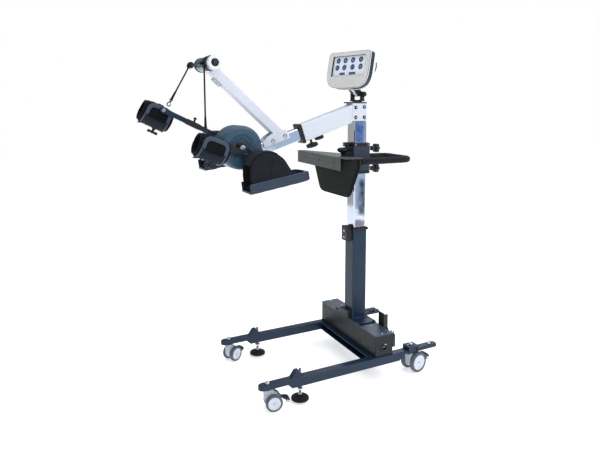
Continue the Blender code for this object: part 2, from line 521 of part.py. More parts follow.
# ------------------------------------------------------------------ leg supports
for name, spec in LEG.items():
    side, length = spec["side"], spec["length"]
    x0, z0 = pin[name]
    leg = sloped((x0, 0, z0), spec["tilt"])       # leg frame: X up along the leg, Y = the object's -Y
    out = -side                                    # away from the middle plane, in the leg frame

    def ys(a, b):
        return tuple(sorted((out * a, out * b)))

    body(f"leg_{name}", (x0, 0, z0), "crank")
    node(f"leg_bar_{name}", f"leg_{name}", flat("XZ", stadium((0, 0), (length, 0), 0.0110, 0.0110, 5), ys(BAR_IN, BAR_OUT), leg), BLUE,
         ("+", rod("Y", (0, 0), ys(BAR_IN + 0.0002, BAR_OUT - 0.0002), 0.0170, m=leg, segments=18)),
         ("+", rod("Y", (length, 0), ys(BAR_IN + 0.0002, BAR_OUT - 0.0002), 0.0140, m=leg, segments=16)),
         ("+", rod("Z", (spec["stud"], out * 0.081), (0.006, 0.026), 0.0045, m=leg, segments=8)),
         ("+", rod("Y", (spec["stud"], 0.028), ys(0.0765, 0.1000), 0.0055, m=leg, segments=10)),
         ("-", rod("Y", (0, 0), ys(0.06, 0.12), 0.0074, m=leg, segments=16)),
         ("-", rod("Y", (length, 0), ys(0.06, 0.12), 0.0055, m=leg, segments=14)))

    # boot: the sole rises towards the toe by 9.3 degrees; its frame's X runs from the heel to the toe
    a = math.radians(9.3)
    heel = (x0 + spec["heel"][0], side * PAD_MID, z0 + spec["heel"][1])
    sole = axes(heel, (math.cos(a), 0, math.sin(a)), (-math.sin(a), 0, math.cos(a)))
    plan = [(0.0, -0.050), (0.006, -0.055), *arc((0.248, 0), 0.055, -90, 90, 12), (0.006, 0.055), (0.0, 0.050)]
    inside = [(-0.02, -0.0505), *arc((0.248, 0), 0.0505, -90, 90, 12), (-0.02, 0.0505)]
    inner_y = -side                               # towards the middle plane
    cheek_y = tuple(sorted((inner_y * 0.0505, inner_y * 0.0550)))
    node(f"foot_shell_{name}", f"leg_{name}", flat("XY", plan, (0.0, 0.042), sole, bevel=0.003, segments=1), SOLE,
         ("-", flat("XY", inside, (0.009, 0.06), sole)),
         ("+", flat("XZ", [(0.012, 0.005), (0.212, 0.005), (0.200, 0.064), (0.176, 0.108), (0.150, 0.134), (0.118, 0.151), (0.080, 0.156), (0.045, 0.141), (0.022, 0.100)], cheek_y, sole)))
    upper = [(0.008, 0.0095), (0.215, 0.0095), (0.213, 0.043), (0.204, 0.066), (0.183, 0.113), (0.1585, 0.141), (0.132, 0.158), (0.095, 0.168),
             (0.068, 0.163), (0.040, 0.148), (0.018, 0.116), (0.010, 0.060)]
    hollow = [(-0.02, 0.0170), (0.205, 0.0170), (0.204, 0.040), (0.196, 0.062), (0.176, 0.108), (0.154, 0.133), (0.129, 0.149), (0.095, 0.160),
              (0.070, 0.155), (0.045, 0.141), (0.026, 0.118), (-0.02, 0.112)]
    boot_y = (-0.0498, 0.0498)
    node(f"boot_{name}", f"leg_{name}", flat("XZ", upper, boot_y, sole, bevel=0.012, segments=2), CLOTH,
         ("-", flat("XZ", hollow, (-0.0420, 0.0420), sole)))

    # calf cuff: a trough on a cross pin at the top of the bar, with a padded wrap inside it
    body(f"cuff_{name}", leg @ Vector((length, 0, 0)), f"leg_{name}")
    mid = out * PAD_MID
    u0, u1 = length - 0.0615, length + 0.0755
    drop = -0.030
    trough = [(mid - 0.0560, 0.012), (mid - 0.0515, 0.012), *arc((mid, drop), 0.0515, 180, 360, 12), (mid + 0.0515, 0.012), (mid + 0.0560, 0.012),
              *arc((mid, drop), 0.0560, 0, -180, 12)]
    node(f"cuff_shell_{name}", f"cuff_{name}", flat("YZ", trough, (u0 + 0.012, u1 - 0.012), leg), SOLE,
         ("+", rod("Y", (length, 0), ys(0.0740, 0.0935), 0.0050, m=leg, segments=14)),
         ("+", rod("Y", (length, 0), ys(0.0876, 0.0935), 0.0120, m=leg, segments=14)),
         ("+", rod("Y", (length, 0), ys(0.0715, 0.0750), 0.0085, m=leg, segments=12)),
         ("+", rod("Z", (length - 0.010, mid), (-0.102, -0.083), 0.0060, m=leg, segments=10)),
         ("+", flat("XZ", stadium((length - 0.028, -0.104), (length + 0.008, -0.104), 0.0065, n=6), (mid - 0.007, mid + 0.007), leg)))
    ring = [*arc((mid, drop), 0.0435, 0, 180, 12), *arc((mid, drop), 0.0510, 180, 360, 12)]
    hole = [*arc((mid, drop), 0.0365, 0, 180, 10), *arc((mid, drop), 0.0380, 180, 360, 10)]
    node(f"cuff_pad_{name}", f"cuff_{name}", flat("YZ", ring, (u0, u1), leg, bevel=0.004), CLOTH,
         ("-", flat("YZ", hole, (u0 - 0.02, u1 + 0.02), leg)))

# ------------------------------------------------------------------ sliding collar with shelf, guard and handle
body("collar", (0, 0, 1.05), "lift")
node("collar", "collar", box((-0.045, 0.045), (-0.045, 0.045), (COLLAR_LOW, COLLAR_TOP), bevel=0.004, along="Z"), BLACK,
     ("+", box((-0.048, 0.048), (-0.048, 0.048), (1.110, 1.125), bevel=0.002, segments=1)),
     ("+", box((-0.048, 0.048), (-0.048, 0.048), (0.972, 0.987), bevel=0.002, segments=1)),
     ("+", box((0.040, 0.060), (-0.030, 0.030), (0.985, 1.108), bevel=0.003, segments=1)),
     ("+", box((-0.075, -0.040), (-0.015, 0.015), (1.108, 1.128), bevel=0.003, segments=1)),
     ("-", box((-0.0355, 0.0355), (-0.0355, 0.0355), (0.95, 1.17))),
     ("-", rod("X", (-0.020, 1.096), (0.02, 0.08), 0.0046, segments=16)),
     ("-", rod("X", (-0.020, 0.994), (0.02, 0.08), 0.0046, segments=16)))

SHELF_PLAN = [(-0.140, -0.130), (-0.0495, -0.130), (-0.0495, 0.0495), (0.030, 0.0495), (-0.085, 0.430), (-0.118, 0.430)]


def shelf_front(y):
    return -0.140 + 0.022 * (y + 0.130) / 0.560


node("collar_shelf", "collar", flat("XY", SHELF_PLAN, (SHELF_TOP - 0.0035, SHELF_TOP)), SHELF,
     ("+", flat("XY", [(shelf_front(-0.07) + 0.0005, -0.07), (shelf_front(0.428) + 0.0005, 0.428), (shelf_front(0.428) + 0.0035, 0.428), (shelf_front(-0.07) + 0.0035, -0.07)], (0.995, SHELF_TOP - 0.001))),
     ("-", rod("Z", (-0.080, 0.0), (1.04, 1.08), 0.0046, segments=16)))

guard = [(-0.205, 1.048), (-0.190, 1.0535), (0.220, 1.0535), (0.235, 1.048), (0.240, 1.030), (0.172, 0.892), (0.156, 0.877), (0.130, 0.872),
         (-0.092, 0.872), (-0.118, 0.877), (-0.134, 0.892), (-0.210, 1.030)]
node("guard_pad", "collar", flat("YZ", guard, (-0.1215, -0.1095), bevel=0.003, segments=1), GUARD)

loop = bend([(-0.0570, -0.110, HANDLE_Z), (0.225, -0.110, HANDLE_Z), (0.252, -0.085, HANDLE_Z), (0.252, 0.085, HANDLE_Z), (0.225, 0.110, HANDLE_Z),
             (-0.0570, 0.110, HANDLE_Z)], 0.030, 4, cyclic=True)
near_grip = bend([(-0.040, -0.110, HANDLE_Z), (0.225, -0.110, HANDLE_Z), (0.252, -0.085, HANDLE_Z), (0.252, 0.062, HANDLE_Z)], 0.030, 4)
far_grip = bend([(0.2500, 0.074, HANDLE_Z), (0.2500, 0.090, HANDLE_Z), (0.225, 0.110, HANDLE_Z), (0.060, 0.110, HANDLE_Z)], 0.020, 4)
node("push_handle", "collar", pipe(loop, 0.0110, cyclic=True, resolution=2), FOAM,
     ("+", pipe(near_grip, 0.0165, resolution=2)),
     ("+", pipe(far_grip, 0.0165, resolution=2)))


def star(axis_name, centre, span, r, m=I, lobes=6):
    """A lobed knob head."""
    n = lobes * 4
    outline = [((r * (0.90 + 0.10 * math.cos(lobes * 2 * math.pi * i / n))) * math.cos(2 * math.pi * i / n),
                (r * (0.90 + 0.10 * math.cos(lobes * 2 * math.pi * i / n))) * math.sin(2 * math.pi * i / n)) for i in range(n)]
    plane = {"X": "YZ", "Z": "XY"}[axis_name]
    return flat(plane, [(centre[0] + a, centre[1] + b) for a, b in outline], span, m, bevel=0.0025, segments=1)


for name, z in (("collar_knob_upper", 1.096), ("collar_knob_lower", 0.994)):
    body(name, (0.085, -0.020, z), "collar")
    node(name, name, star("X", (-0.020, z), (0.092, 0.113), 0.024), BLACK,
         ("+", rod("X", (-0.020, z), (0.070, 0.094), 0.0110, r2=0.0140, segments=14)),
         ("+", rod("X", (-0.020, z), (0.0363, 0.072), 0.0042, segments=12)))

body("shelf_knob", (-0.080, 0.0, 1.08), "collar")
node("shelf_knob", "shelf_knob", turned("Z", (-0.080, 0.0), [
    (0, 1.1035), (0.016, 1.1025), (0.027, 1.0970), (0.029, 1.0895), (0.025, 1.0820), (0.013, 1.0770), (0.010, 1.0603), (0.0042, 1.0603), (0.0042, 1.0518), (0, 1.0518)], steps=20), BLACK)

# ------------------------------------------------------------------ console
cy, sy = math.cos(math.radians(CONSOLE_YAW)), math.sin(math.radians(CONSOLE_YAW))
ct, st = math.cos(math.radians(CONSOLE_TILT)), math.sin(math.radians(CONSOLE_TILT))
across = Vector((sy, -cy, 0))
facing = Vector((-cy * ct, -sy * ct, st))
rise = across.cross(-facing)
FACE = axes(CONSOLE, across, rise)               # X across towards the near side, Y into the console, Z up its face
post = Vector((0, 0, 0))                          # the bracket stands over the column's middle
POST = axes((post.x, post.y, CONSOLE_HINGE_Z), across, (0, 0, 1))

w, h = CONSOLE_W / 2, CONSOLE_H / 2
face = [*arc((w - 0.018, h - 0.018), 0.018, 0, 90, 5), *arc((-w + 0.018, h - 0.018), 0.018, 90, 180, 5),
        (-w + 0.001, -0.030), (-w + 0.010, -h + 0.032), (-w + 0.026, -h + 0.014), (-w + 0.052, -h + 0.004), (-0.04, -h), (0.04, -h), (w - 0.052, -h + 0.004), (w - 0.026, -h + 0.014), (w - 0.010, -h + 0.032), (w - 0.001, -0.030)]


def shrink(outline, by):
    return [(a * (w - by) / w, b * (h - by) / h) for a, b in outline]


body("console_yaw", (post.x, post.y, 1.330), "lift")
body("console", (post.x, post.y, CONSOLE_HINGE_Z), "console_yaw")
low = 1.3273 - CONSOLE_HINGE_Z
node("console_bracket", "console_yaw", rod("Z", (0, 0), (low, low + 0.0060), 0.024, m=POST, segments=20), BLACK,
     ("+", box((-0.0365, 0.0365), (-0.0152, 0.0152), (low + 0.0035, low + 0.0100), POST)),
     ("+", box((-0.0345, -0.0290), (-0.0138, 0.0138), (low + 0.006, 0.013), POST)),
     ("+", box((0.0290, 0.0345), (-0.0138, 0.0138), (low + 0.006, 0.013), POST)),
     ("-", rod("X", (0, 0), (-0.08, 0.08), 0.0054, m=POST, segments=14)))
node("console_rear", "console", flat("XZ", shrink(face, 0.001), (0.0125, 0.052), FACE, bevel=0.010, segments=2, rim=0.052), WHITE,
     ("-", flat("XZ", shrink(face, 0.005), (0.000, 0.041), FACE)),
     ("+", flat("YZ", stadium((0, 0), (-0.036, 0.034), 0.0110, 0.0105, 6), (-0.0275, 0.0275), POST)),
     ("+", rod("X", (0, 0), (-0.0390, 0.0410), 0.0050, m=POST, segments=14)),
     ("+", rod("X", (0, 0), (0.0365, 0.0530), 0.0120, m=POST, segments=16, bevel=0.002)),
     ("+", rod("X", (0, 0), (-0.0410, -0.0365), 0.0090, m=POST, segments=12)))
sw, sh, su = 0.2165 / 2, 0.100 / 2, 0.0205
node("console_bezel", "console", flat("XZ", face, (0.0, 0.0122), FACE, bevel=0.003, segments=2), BEZEL,
     ("-", box((-sw, sw), (-0.01, 0.03), (su - sh, su + sh), FACE)))
node("console_screen", "console", box((-sw + GAP, sw - GAP), (0.003, 0.0118), (su - sh + GAP, su + sh - GAP), FACE), GLASS)
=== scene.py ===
"""Bedside leg rehabilitation machine, dressed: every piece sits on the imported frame, in metres, in its frame."""
import math

import bmesh
import bpy
from mathutils import Matrix, Vector
from mathutils.bvhtree import BVHTree


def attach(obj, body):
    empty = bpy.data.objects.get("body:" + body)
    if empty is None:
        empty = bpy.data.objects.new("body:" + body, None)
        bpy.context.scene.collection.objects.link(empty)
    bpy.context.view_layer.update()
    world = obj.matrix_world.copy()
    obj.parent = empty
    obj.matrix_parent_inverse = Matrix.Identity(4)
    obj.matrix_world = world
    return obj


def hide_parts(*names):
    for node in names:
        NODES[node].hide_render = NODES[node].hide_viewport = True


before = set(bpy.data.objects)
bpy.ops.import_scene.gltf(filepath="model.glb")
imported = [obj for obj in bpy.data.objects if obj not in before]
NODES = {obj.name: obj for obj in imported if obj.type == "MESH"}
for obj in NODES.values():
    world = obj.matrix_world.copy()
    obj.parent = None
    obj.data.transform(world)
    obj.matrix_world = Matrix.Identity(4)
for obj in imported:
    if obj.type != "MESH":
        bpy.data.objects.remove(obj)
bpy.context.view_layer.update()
SCENE = bpy.context.scene
I = Matrix.Identity(4)
ORIGIN = Vector((0.3600, -0.0675, 0.0))           # shapes are drawn about the column's foot, the frame's origin is the middle of the base
SHIFT = Matrix.Translation(ORIGIN)

# ------------------------------------------------------------------ camera
cam_data = bpy.data.cameras.new("camera")
cam_data.sensor_width = 36
cam_data.lens = 32.39
cam_data.shift_y = -0.1
cam_data.clip_end = 60
camera = bpy.data.objects.new("camera", cam_data)
camera.location = Vector((-1.471, -2.290, 1.308)) + ORIGIN
camera.rotation_euler = (math.radians(90 - 6.25), 0, math.radians(-26.70))
SCENE.collection.objects.link(camera)
SCENE.camera = camera
SCENE.view_settings.view_transform = "Standard"
SCENE.view_settings.look = "None"


# ------------------------------------------------------------------ shapes
def axes(origin, x, z):
    """A frame from its origin, its X and its Z."""
    x, z = Vector(x).normalized(), Vector(z).normalized()
    y = z.cross(x)
    m = Matrix((x, y, z)).transposed().to_4x4()
    m.translation = Vector(origin)
    return m


def sloped(origin, degrees):
    """A frame whose X runs towards -X of the object, raised by degrees; its Y is the object's -Y."""
    a = math.radians(degrees)
    return axes(origin, (-math.cos(a), 0, math.sin(a)), (math.sin(a), 0, math.cos(a)))


def finish(bm):
    bmesh.ops.recalc_face_normals(bm, faces=bm.faces[:])
    if bm.calc_volume(signed=True) < 0:
        bmesh.ops.reverse_faces(bm, faces=bm.faces[:])
    mesh = bpy.data.meshes.new("shape")
    bm.to_mesh(mesh)
    bm.free()
    return mesh


def round_edges(bm, width, segments, keep=None):
    edges = [e for e in bm.edges if len(e.link_faces) == 2 and e.calc_face_angle(0) > math.radians(50)
             and (keep is None or keep(e))]
    bmesh.ops.bevel(bm, geom=edges, offset=width, segments=segments, profile=0.5,
                    affect="EDGES", clamp_overlap=True)


def box(x, y, z, m=I, bevel=0.0, segments=3, along=None):
    """A box from its spans; along keeps the bevel to the edges that run along that axis."""
    bm = bmesh.new()
    spans = (x, y, z)
    size = [b - a for a, b in spans]
    mid = [(a + b) / 2 for a, b in spans]
    bmesh.ops.create_cube(bm, size=1.0, matrix=Matrix.Translation(mid) @ Matrix.Diagonal((*size, 1.0)))
    if bevel:
        i = None if along is None else "XYZ".index(along)
        keep = None if i is None else (lambda e: abs(e.verts[0].co[i] - e.verts[1].co[i]) > 1e-6)
        round_edges(bm, bevel, segments, keep)
    bm.transform(m)
    return finish(bm)


TURN = {"X": Matrix.Rotation(math.pi / 2, 4, "Y"), "Y": Matrix.Rotation(-math.pi / 2, 4, "X"), "Z": I}


def place(axis, centre, span):
    """The middle of a cylinder that lies along an axis: centre holds the two other coordinates."""
    c = list(centre)
    c.insert("XYZ".index(axis), sum(span) / 2)
    return Matrix.Translation(c) @ TURN[axis]


def rod(axis, centre, span, r, r2=None, m=I, segments=32, bevel=0.0, rings=2):
    """A cylinder (or a cone, from r to r2) along an axis of m."""
    bm = bmesh.new()
    bmesh.ops.create_cone(bm, cap_ends=True, segments=segments, radius1=r, radius2=r if r2 is None else r2,
                          depth=abs(span[1] - span[0]), matrix=place(axis, centre, span))
    if bevel:
        round_edges(bm, bevel, rings)
    bm.transform(m)
    return finish(bm)


def lathe(axis, centre, profile, m=I, steps=56):
    """A profile of (radius, height) points turned about an axis; a ring-shaped profile repeats its first point."""
    closed = profile[0] == profile[-1]
    points = profile[:-1] if closed else profile
    bm = bmesh.new()
    rows = []
    for r, h in points:
        if r < 1e-7:
            rows.append([bm.verts.new((0, 0, h))])
        else:
            rows.append([bm.verts.new((r * math.cos(2 * math.pi * k / steps), r * math.sin(2 * math.pi * k / steps), h)) for k in range(steps)])
    pairs = list(zip(rows, rows[1:])) + ([(rows[-1], rows[0])] if closed else [])
    for a, b in pairs:
        for k in range(steps):
            n = (k + 1) % steps
            loop = [a[k % len(a)], a[n % len(a)], b[n % len(b)], b[k % len(b)]]
            loop = [v for i, v in enumerate(loop) if v not in loop[:i]]
            if len(loop) > 2:
                bm.faces.new(loop)
    bm.transform(m @ place(axis, centre, (0, 0)))
    return finish(bm)


PLANES = {
    "XY": I,
    "XZ": Matrix(((1, 0, 0, 0), (0, 0, -1, 0), (0, 1, 0, 0), (0, 0, 0, 1))),
    "YZ": Matrix(((0, 0, 1, 0), (1, 0, 0, 0), (0, 1, 0, 0), (0, 0, 0, 1))),
}


def evaluated(obj, m):
    """The object's evaluated mesh, welded and moved by m; the object itself is removed."""
    bpy.context.view_layer.update()
    shape = bpy.data.meshes.new_from_object(obj.evaluated_get(bpy.context.evaluated_depsgraph_get()))
    shape.transform(obj.matrix_world)
    bpy.data.objects.remove(obj, do_unlink=True)
    bm = bmesh.new()
    bm.from_mesh(shape)
    bpy.data.meshes.remove(shape)
    bmesh.ops.remove_doubles(bm, verts=bm.verts[:], dist=0.00002)
    bm.transform(m)
    return bm


def flat(plane, outline, span, m=I, bevel=0.0, segments=3, rim=None):
    """A flat outline, given in a plane, made thick over a span of the third axis; rim keeps the bevel to one face."""
    curve = bpy.data.curves.new("outline", "CURVE")
    curve.dimensions = "2D"
    curve.fill_mode = "BOTH"
    curve.extrude = abs(span[1] - span[0]) / 2
    spline = curve.splines.new("POLY")
    spline.points.add(len(outline) - 1)
    for point, (a, b) in zip(spline.points, outline):
        point.co = (a, b, 0, 1)
    spline.use_cyclic_u = True
    obj = bpy.data.objects.new("outline", curve)
    third = ({"X", "Y", "Z"} - set(plane)).pop()
    i = "XYZ".index(third)
    shift = [0, 0, 0]
    shift[i] = sum(span) / 2
    obj.matrix_world = Matrix.Translation(shift) @ PLANES[plane]
    SCENE.collection.objects.link(obj)
    bm = evaluated(obj, I)
    if bevel:
        bmesh.ops.dissolve_limit(bm, angle_limit=0.001, verts=bm.verts[:], edges=bm.edges[:])
        lo, hi = min(span), max(span)

        def keep(e):
            a, b = e.verts[0].co[i], e.verts[1].co[i]
            if rim is not None:
                return abs(a - rim) < 1e-6 and abs(b - rim) < 1e-6
            return abs(a - b) < 1e-6 or e.calc_face_angle(0) > math.radians(50)
        round_edges(bm, bevel, segments, keep)
    bm.transform(m)
    return finish(bm)


def pipe(points, r, cyclic=False, m=I, resolution=5, radii=None):
    """A round tube along a line of points; radii vary it from point to point."""
    curve = bpy.data.curves.new("line", "CURVE")
    curve.dimensions = "3D"
    curve.bevel_depth = r
    curve.bevel_resolution = resolution
    curve.use_fill_caps = not cyclic
    spline = curve.splines.new("POLY")
    spline.points.add(len(points) - 1)
    for i, (point, co) in enumerate(zip(spline.points, points)):
        point.co = (*co, 1)
        point.radius = 1.0 if radii is None else radii[i % len(radii)]
    spline.use_cyclic_u = cyclic
    obj = bpy.data.objects.new("line", curve)
    SCENE.collection.objects.link(obj)
    return finish(evaluated(obj, m))


def bend(points, reach, n=6, cyclic=False):
    """The same line with its corners rounded over a reach on each side."""
    out = []
    count = len(points)
    for i, p in enumerate(points):
        p = Vector(p)
        if not cyclic and i in (0, count - 1):
            out.append(tuple(p))
            continue
        a, b = Vector(points[i - 1]), Vector(points[(i + 1) % count])
        d = min(reach, (a - p).length * 0.49, (b - p).length * 0.49)
        s, e = p + (a - p).normalized() * d, p + (b - p).normalized() * d
        for k in range(n + 1):
            t = k / n
            out.append(tuple(s * (1 - t) ** 2 + p * 2 * t * (1 - t) + e * t * t))
    return out


def arc(centre, r, start, end, n):
    return [(centre[0] + r * math.cos(math.radians(start + (end - start) * k / n)),
             centre[1] + r * math.sin(math.radians(start + (end - start) * k / n))) for k in range(n + 1)]


def stadium(a, b, ra, rb=None, n=14):
    """The outline of a link with round ends, from a to b."""
    rb = ra if rb is None else rb
    t = math.degrees(math.atan2(b[1] - a[1], b[0] - a[0]))
    return arc(a, ra, t + 90, t + 270, n) + arc(b, rb, t - 90, t + 90, n)


def spaced(points, step):
    """The same line with a point about every step along it."""
    out = [points[0]]
    for a, b in zip(points, points[1:]):
        a, b = Vector(a), Vector(b)
        n = max(1, round((b - a).length / step))
        out += [tuple(a.lerp(b, i / n)) for i in range(1, n + 1)]
    return out


def span_of(points):
    return sum((Vector(b) - Vector(a)).length for a, b in zip(points, points[1:]))


def rounded(x, z, r, n=6):
    """A rectangle with round corners, from its spans."""
    (x0, x1), (z0, z1) = x, z
    return (arc((x1 - r, z1 - r), r, 0, 90, n) + arc((x0 + r, z1 - r), r, 90, 180, n)
            + arc((x0 + r, z0 + r), r, 180, 270, n) + arc((x1 - r, z0 + r), r, 270, 360, n))


def shaped(mesh, *changes):
    """The first shape after joins (+), cuts (-) and crossings (*), in order."""
    obj = bpy.data.objects.new("shaped", mesh)
    SCENE.collection.objects.link(obj)
    tools = []
    for sign, other in changes:
        tool = bpy.data.objects.new("tool", other)
        SCENE.collection.objects.link(tool)
        tools.append(tool)
        change = obj.modifiers.new("change", "BOOLEAN")
        change.solver = "EXACT"
        change.operation = {"+": "UNION", "-": "DIFFERENCE", "*": "INTERSECT"}[sign]
        change.object = tool
    bm = evaluated(obj, I)
    for tool in tools:
        bpy.data.objects.remove(tool, do_unlink=True)
    assert len(bm.faces) > 3, "an empty shape"
    return finish(bm)


def moved(mesh, m):
    mesh.transform(m)
    return mesh


# ------------------------------------------------------------------ materials
def linear(colour, gain=1.0):
    return [min(1.0, gain * (((c / 255 + 0.055) / 1.055) ** 2.4 if c > 10 else c / 255 / 12.92)) for c in colour] + [1.0]


def look(name, colour, rough, metal=0.0, vary=0.10, scale=14.0, rvar=0.08, grain=700.0, bump=0.10, depth=0.0004,
         coat=0.0, sheen=0.0, sheen_tint=None, spec=0.5, weave=None, weave_depth=0.5, speckle=0.0, ripple=0.0, emission=0.0, aniso=0.0):
    """A procedural material: colour that drifts, roughness that varies, grain or weave in relief."""
    m = bpy.data.materials.new(name)
    m.use_nodes = True
    nt = m.node_tree
    s = nt.nodes["Principled BSDF"]
    m.diffuse_color = linear(colour)

    def add(kind, **values):
        n = nt.nodes.new(kind)
        for k, v in values.items():
            setattr(n, k, v)
        return n

    where = add("ShaderNodeTexCoord").outputs["Object"]

    def noise(size, detail=3.0, rough_=0.55):
        n = add("ShaderNodeTexNoise")
        n.inputs["Scale"].default_value = size
        n.inputs["Detail"].default_value = detail
        n.inputs["Roughness"].default_value = rough_
        nt.links.new(where, n.inputs["Vector"])
        return n.outputs["Fac"]

    def ranged(source, lo, hi, to_lo, to_hi):
        n = add("ShaderNodeMapRange")
        for key, v in (("From Min", lo), ("From Max", hi), ("To Min", to_lo), ("To Max", to_hi)):
            n.inputs[key].default_value = v
        nt.links.new(source, n.inputs["Value"])
        return n.outputs["Result"]

    def maths(op, a, b):
        n = add("ShaderNodeMath", operation=op)
        for i, v in ((0, a), (1, b)):
            if isinstance(v, (int, float)):
                n.inputs[i].default_value = v
            else:
                nt.links.new(v, n.inputs[i])
        return n.outputs[0]

    height = noise(grain, 2.0)
    tone = ranged(noise(scale, 4.0), 0.30, 0.70, 0.0, 1.0)
    if weave:
        k = 2 * math.pi / (20 * weave)
        waves = []
        for direction in ("X", "Y", "Z"):
            w = add("ShaderNodeTexWave", wave_type="BANDS", bands_direction=direction, wave_profile="SIN")
            w.inputs["Scale"].default_value = k
            w.inputs["Distortion"].default_value = 0.6
            w.inputs["Detail"].default_value = 1.0
            w.inputs["Detail Scale"].default_value = 3.0
            nt.links.new(where, w.inputs["Vector"])
            waves.append(w.outputs["Fac"])
        threads = maths("MULTIPLY", maths("ADD", maths("ADD", waves[0], waves[1]), waves[2]), 1 / 3)
        height = maths("ADD", maths("MULTIPLY", threads, weave_depth), maths("MULTIPLY", height, 1 - weave_depth * 0.6))
        # the colour follows the weave's height: partly the thread pattern, partly painted shade in the hollows between
        # threads
        tone = maths("ADD", maths("MULTIPLY", tone, 0.6), maths("MULTIPLY", threads, 0.4))
    if speckle:
        v = add("ShaderNodeTexVoronoi", feature="F1")
        v.inputs["Scale"].default_value = 900.0
        nt.links.new(where, v.inputs["Vector"])
        dots = ranged(v.outputs["Distance"], 0.05, 0.45, 0.0, 1.0)
        tone = maths("ADD", maths("MULTIPLY", tone, 1 - speckle), maths("MULTIPLY", dots, speckle))
    mix = add("ShaderNodeMix", data_type="RGBA")
    base = linear(colour)
    mix.inputs["A"].default_value = [c * (1 - vary) for c in base[:3]] + [1]
    mix.inputs["B"].default_value = [min(1.0, c * (1 + vary)) for c in base[:3]] + [1]
    nt.links.new(tone, mix.inputs["Factor"])
    nt.links.new(mix.outputs["Result"], s.inputs["Base Color"])
    nt.links.new(ranged(noise(scale * 5, 3.0), 0.3, 0.7, max(0.02, rough - rvar), min(1.0, rough + rvar)), s.inputs["Roughness"])
    if ripple:
        slow = add("ShaderNodeTexNoise")
        slow.inputs["Scale"].default_value = 9.0
        slow.inputs["Detail"].default_value = 1.5
        nt.links.new(where, slow.inputs["Vector"])
        height = maths("ADD", maths("MULTIPLY", height, 0.02), maths("MULTIPLY", slow.outputs["Fac"], ripple))
    if bump:
        b = add("ShaderNodeBump")
        b.inputs["Strength"].default_value = min(1.0, bump)
        b.inputs["Distance"].default_value = depth
        nt.links.new(height, b.inputs["Height"])
        nt.links.new(b.outputs["Normal"], s.inputs["Normal"])
    s.inputs["Metallic"].default_value = metal
    s.inputs["Specular IOR Level"].default_value = spec
    if coat:
        s.inputs["Coat Weight"].default_value = coat
        s.inputs["Coat Roughness"].default_value = 0.12
    if sheen:
        s.inputs["Sheen Weight"].default_value = sheen
        s.inputs["Sheen Roughness"].default_value = 0.45
        if sheen_tint:
            s.inputs["Sheen Tint"].default_value = linear(sheen_tint)
    if emission:
        s.inputs["Emission Color"].default_value = base
        s.inputs["Emission Strength"].default_value = emission
    return m


PAINT = look("paint_blue", (20, 43, 66), 0.40, vary=0.14, grain=900, bump=0.22, depth=0.0003, coat=0.05, spec=0.30)
# a lighter copy of the blue paint: painted highlight, used on the leg bars' pressed lines
PAINT_HIGHLIGHT = look("paint_blue_painted_highlight", (62, 78, 98), 0.40, vary=0.10, grain=900, bump=0.2, depth=0.0003, spec=0.5)
# the lid's paint is lighter and the box's paint darker than the rails' blue: partly their own colours, partly painted
# light on the lid's top and painted shade on the box's sides
COVER = look("paint_cover", (54, 72, 88), 0.42, vary=0.08, grain=1000, bump=0.22, depth=0.0003, spec=0.5)
BOXPAINT = look("paint_box", (13, 22, 30), 0.45, vary=0.16, grain=1100, bump=0.28, depth=0.0003, spec=0.35)
WHITE = look("paint_white", (219, 225, 236), 0.34, vary=0.025, scale=7, rvar=0.05, grain=400, bump=0.012, depth=0.0002, coat=0.18)
PLATE = look("plate_grey", (188, 190, 188), 0.42, vary=0.06, grain=1100, bump=0.15, depth=0.0002)
WHITE_PLASTIC = look("white_plastic", (236, 239, 243), 0.34, vary=0.02, grain=1300, bump=0.12, depth=0.0002)
# the blue tint in the chrome's base colour is a painted reflection of blue surroundings
CHROME = look("chrome_plate", (206, 216, 230), 0.07, 1.0, vary=0.04, scale=5, rvar=0.03, grain=90, bump=0.25, depth=0.0010, ripple=0.9)
CHROME_BLUE = look("chrome_hub", (96, 136, 156), 0.24, 1.0, vary=0.10, scale=9, rvar=0.05, grain=90, bump=0.2, depth=0.0006, ripple=0.6)
BOLT = look("bolt_zinc", (205, 209, 216), 0.20, 1.0, vary=0.08, scale=120, rvar=0.08, grain=900, bump=0.15, depth=0.0002)
STEEL = look("steel_brushed", (132, 138, 146), 0.33, 1.0, vary=0.08, scale=40, grain=1200, bump=0.2, depth=0.0002)
WELD = look("weld_painted", (40, 55, 74), 0.42, vary=0.18, scale=260, grain=700, bump=0.35, depth=0.0005)
BLACK = look("black_plastic", (17, 19, 23), 0.48, vary=0.18, grain=1100, bump=0.30, depth=0.0002, spec=0.4)
GLOSS = look("black_gloss", (14, 15, 19), 0.25, vary=0.15, grain=800, bump=0.10, depth=0.0002)
BLACK_METAL = look("black_metal", (19, 22, 28), 0.40, vary=0.18, grain=1000, bump=0.22, depth=0.0003)
COLLAR_BLUE = look("collar_blue", (44, 56, 76), 0.42, vary=0.12, grain=900, bump=0.22, depth=0.0003)
RUBBER = look("rubber_black", (22, 22, 24), 0.75, vary=0.15, grain=1500, bump=0.30, depth=0.0003, spec=0.3)
CLOTH = look("cloth_charcoal", (30, 34, 40), 0.92, vary=0.22, scale=30, grain=2400, bump=0.75, depth=0.0006, sheen=0.18, sheen_tint=(120, 135, 150), spec=0.15, weave=0.0013)
CLOTH_SHELL = look("trough_dark", (27, 33, 43), 0.80, vary=0.20, scale=26, grain=1600, bump=0.6, depth=0.0005, sheen=0.10, sheen_tint=(110, 125, 145), spec=0.2, weave=0.0015)
CLOTH_BLACK = look("cloth_black", (20, 21, 25), 0.94, vary=0.24, scale=26, grain=2400, bump=0.8, depth=0.0006, sheen=0.12, sheen_tint=(110, 120, 140), spec=0.12, weave=0.0013)
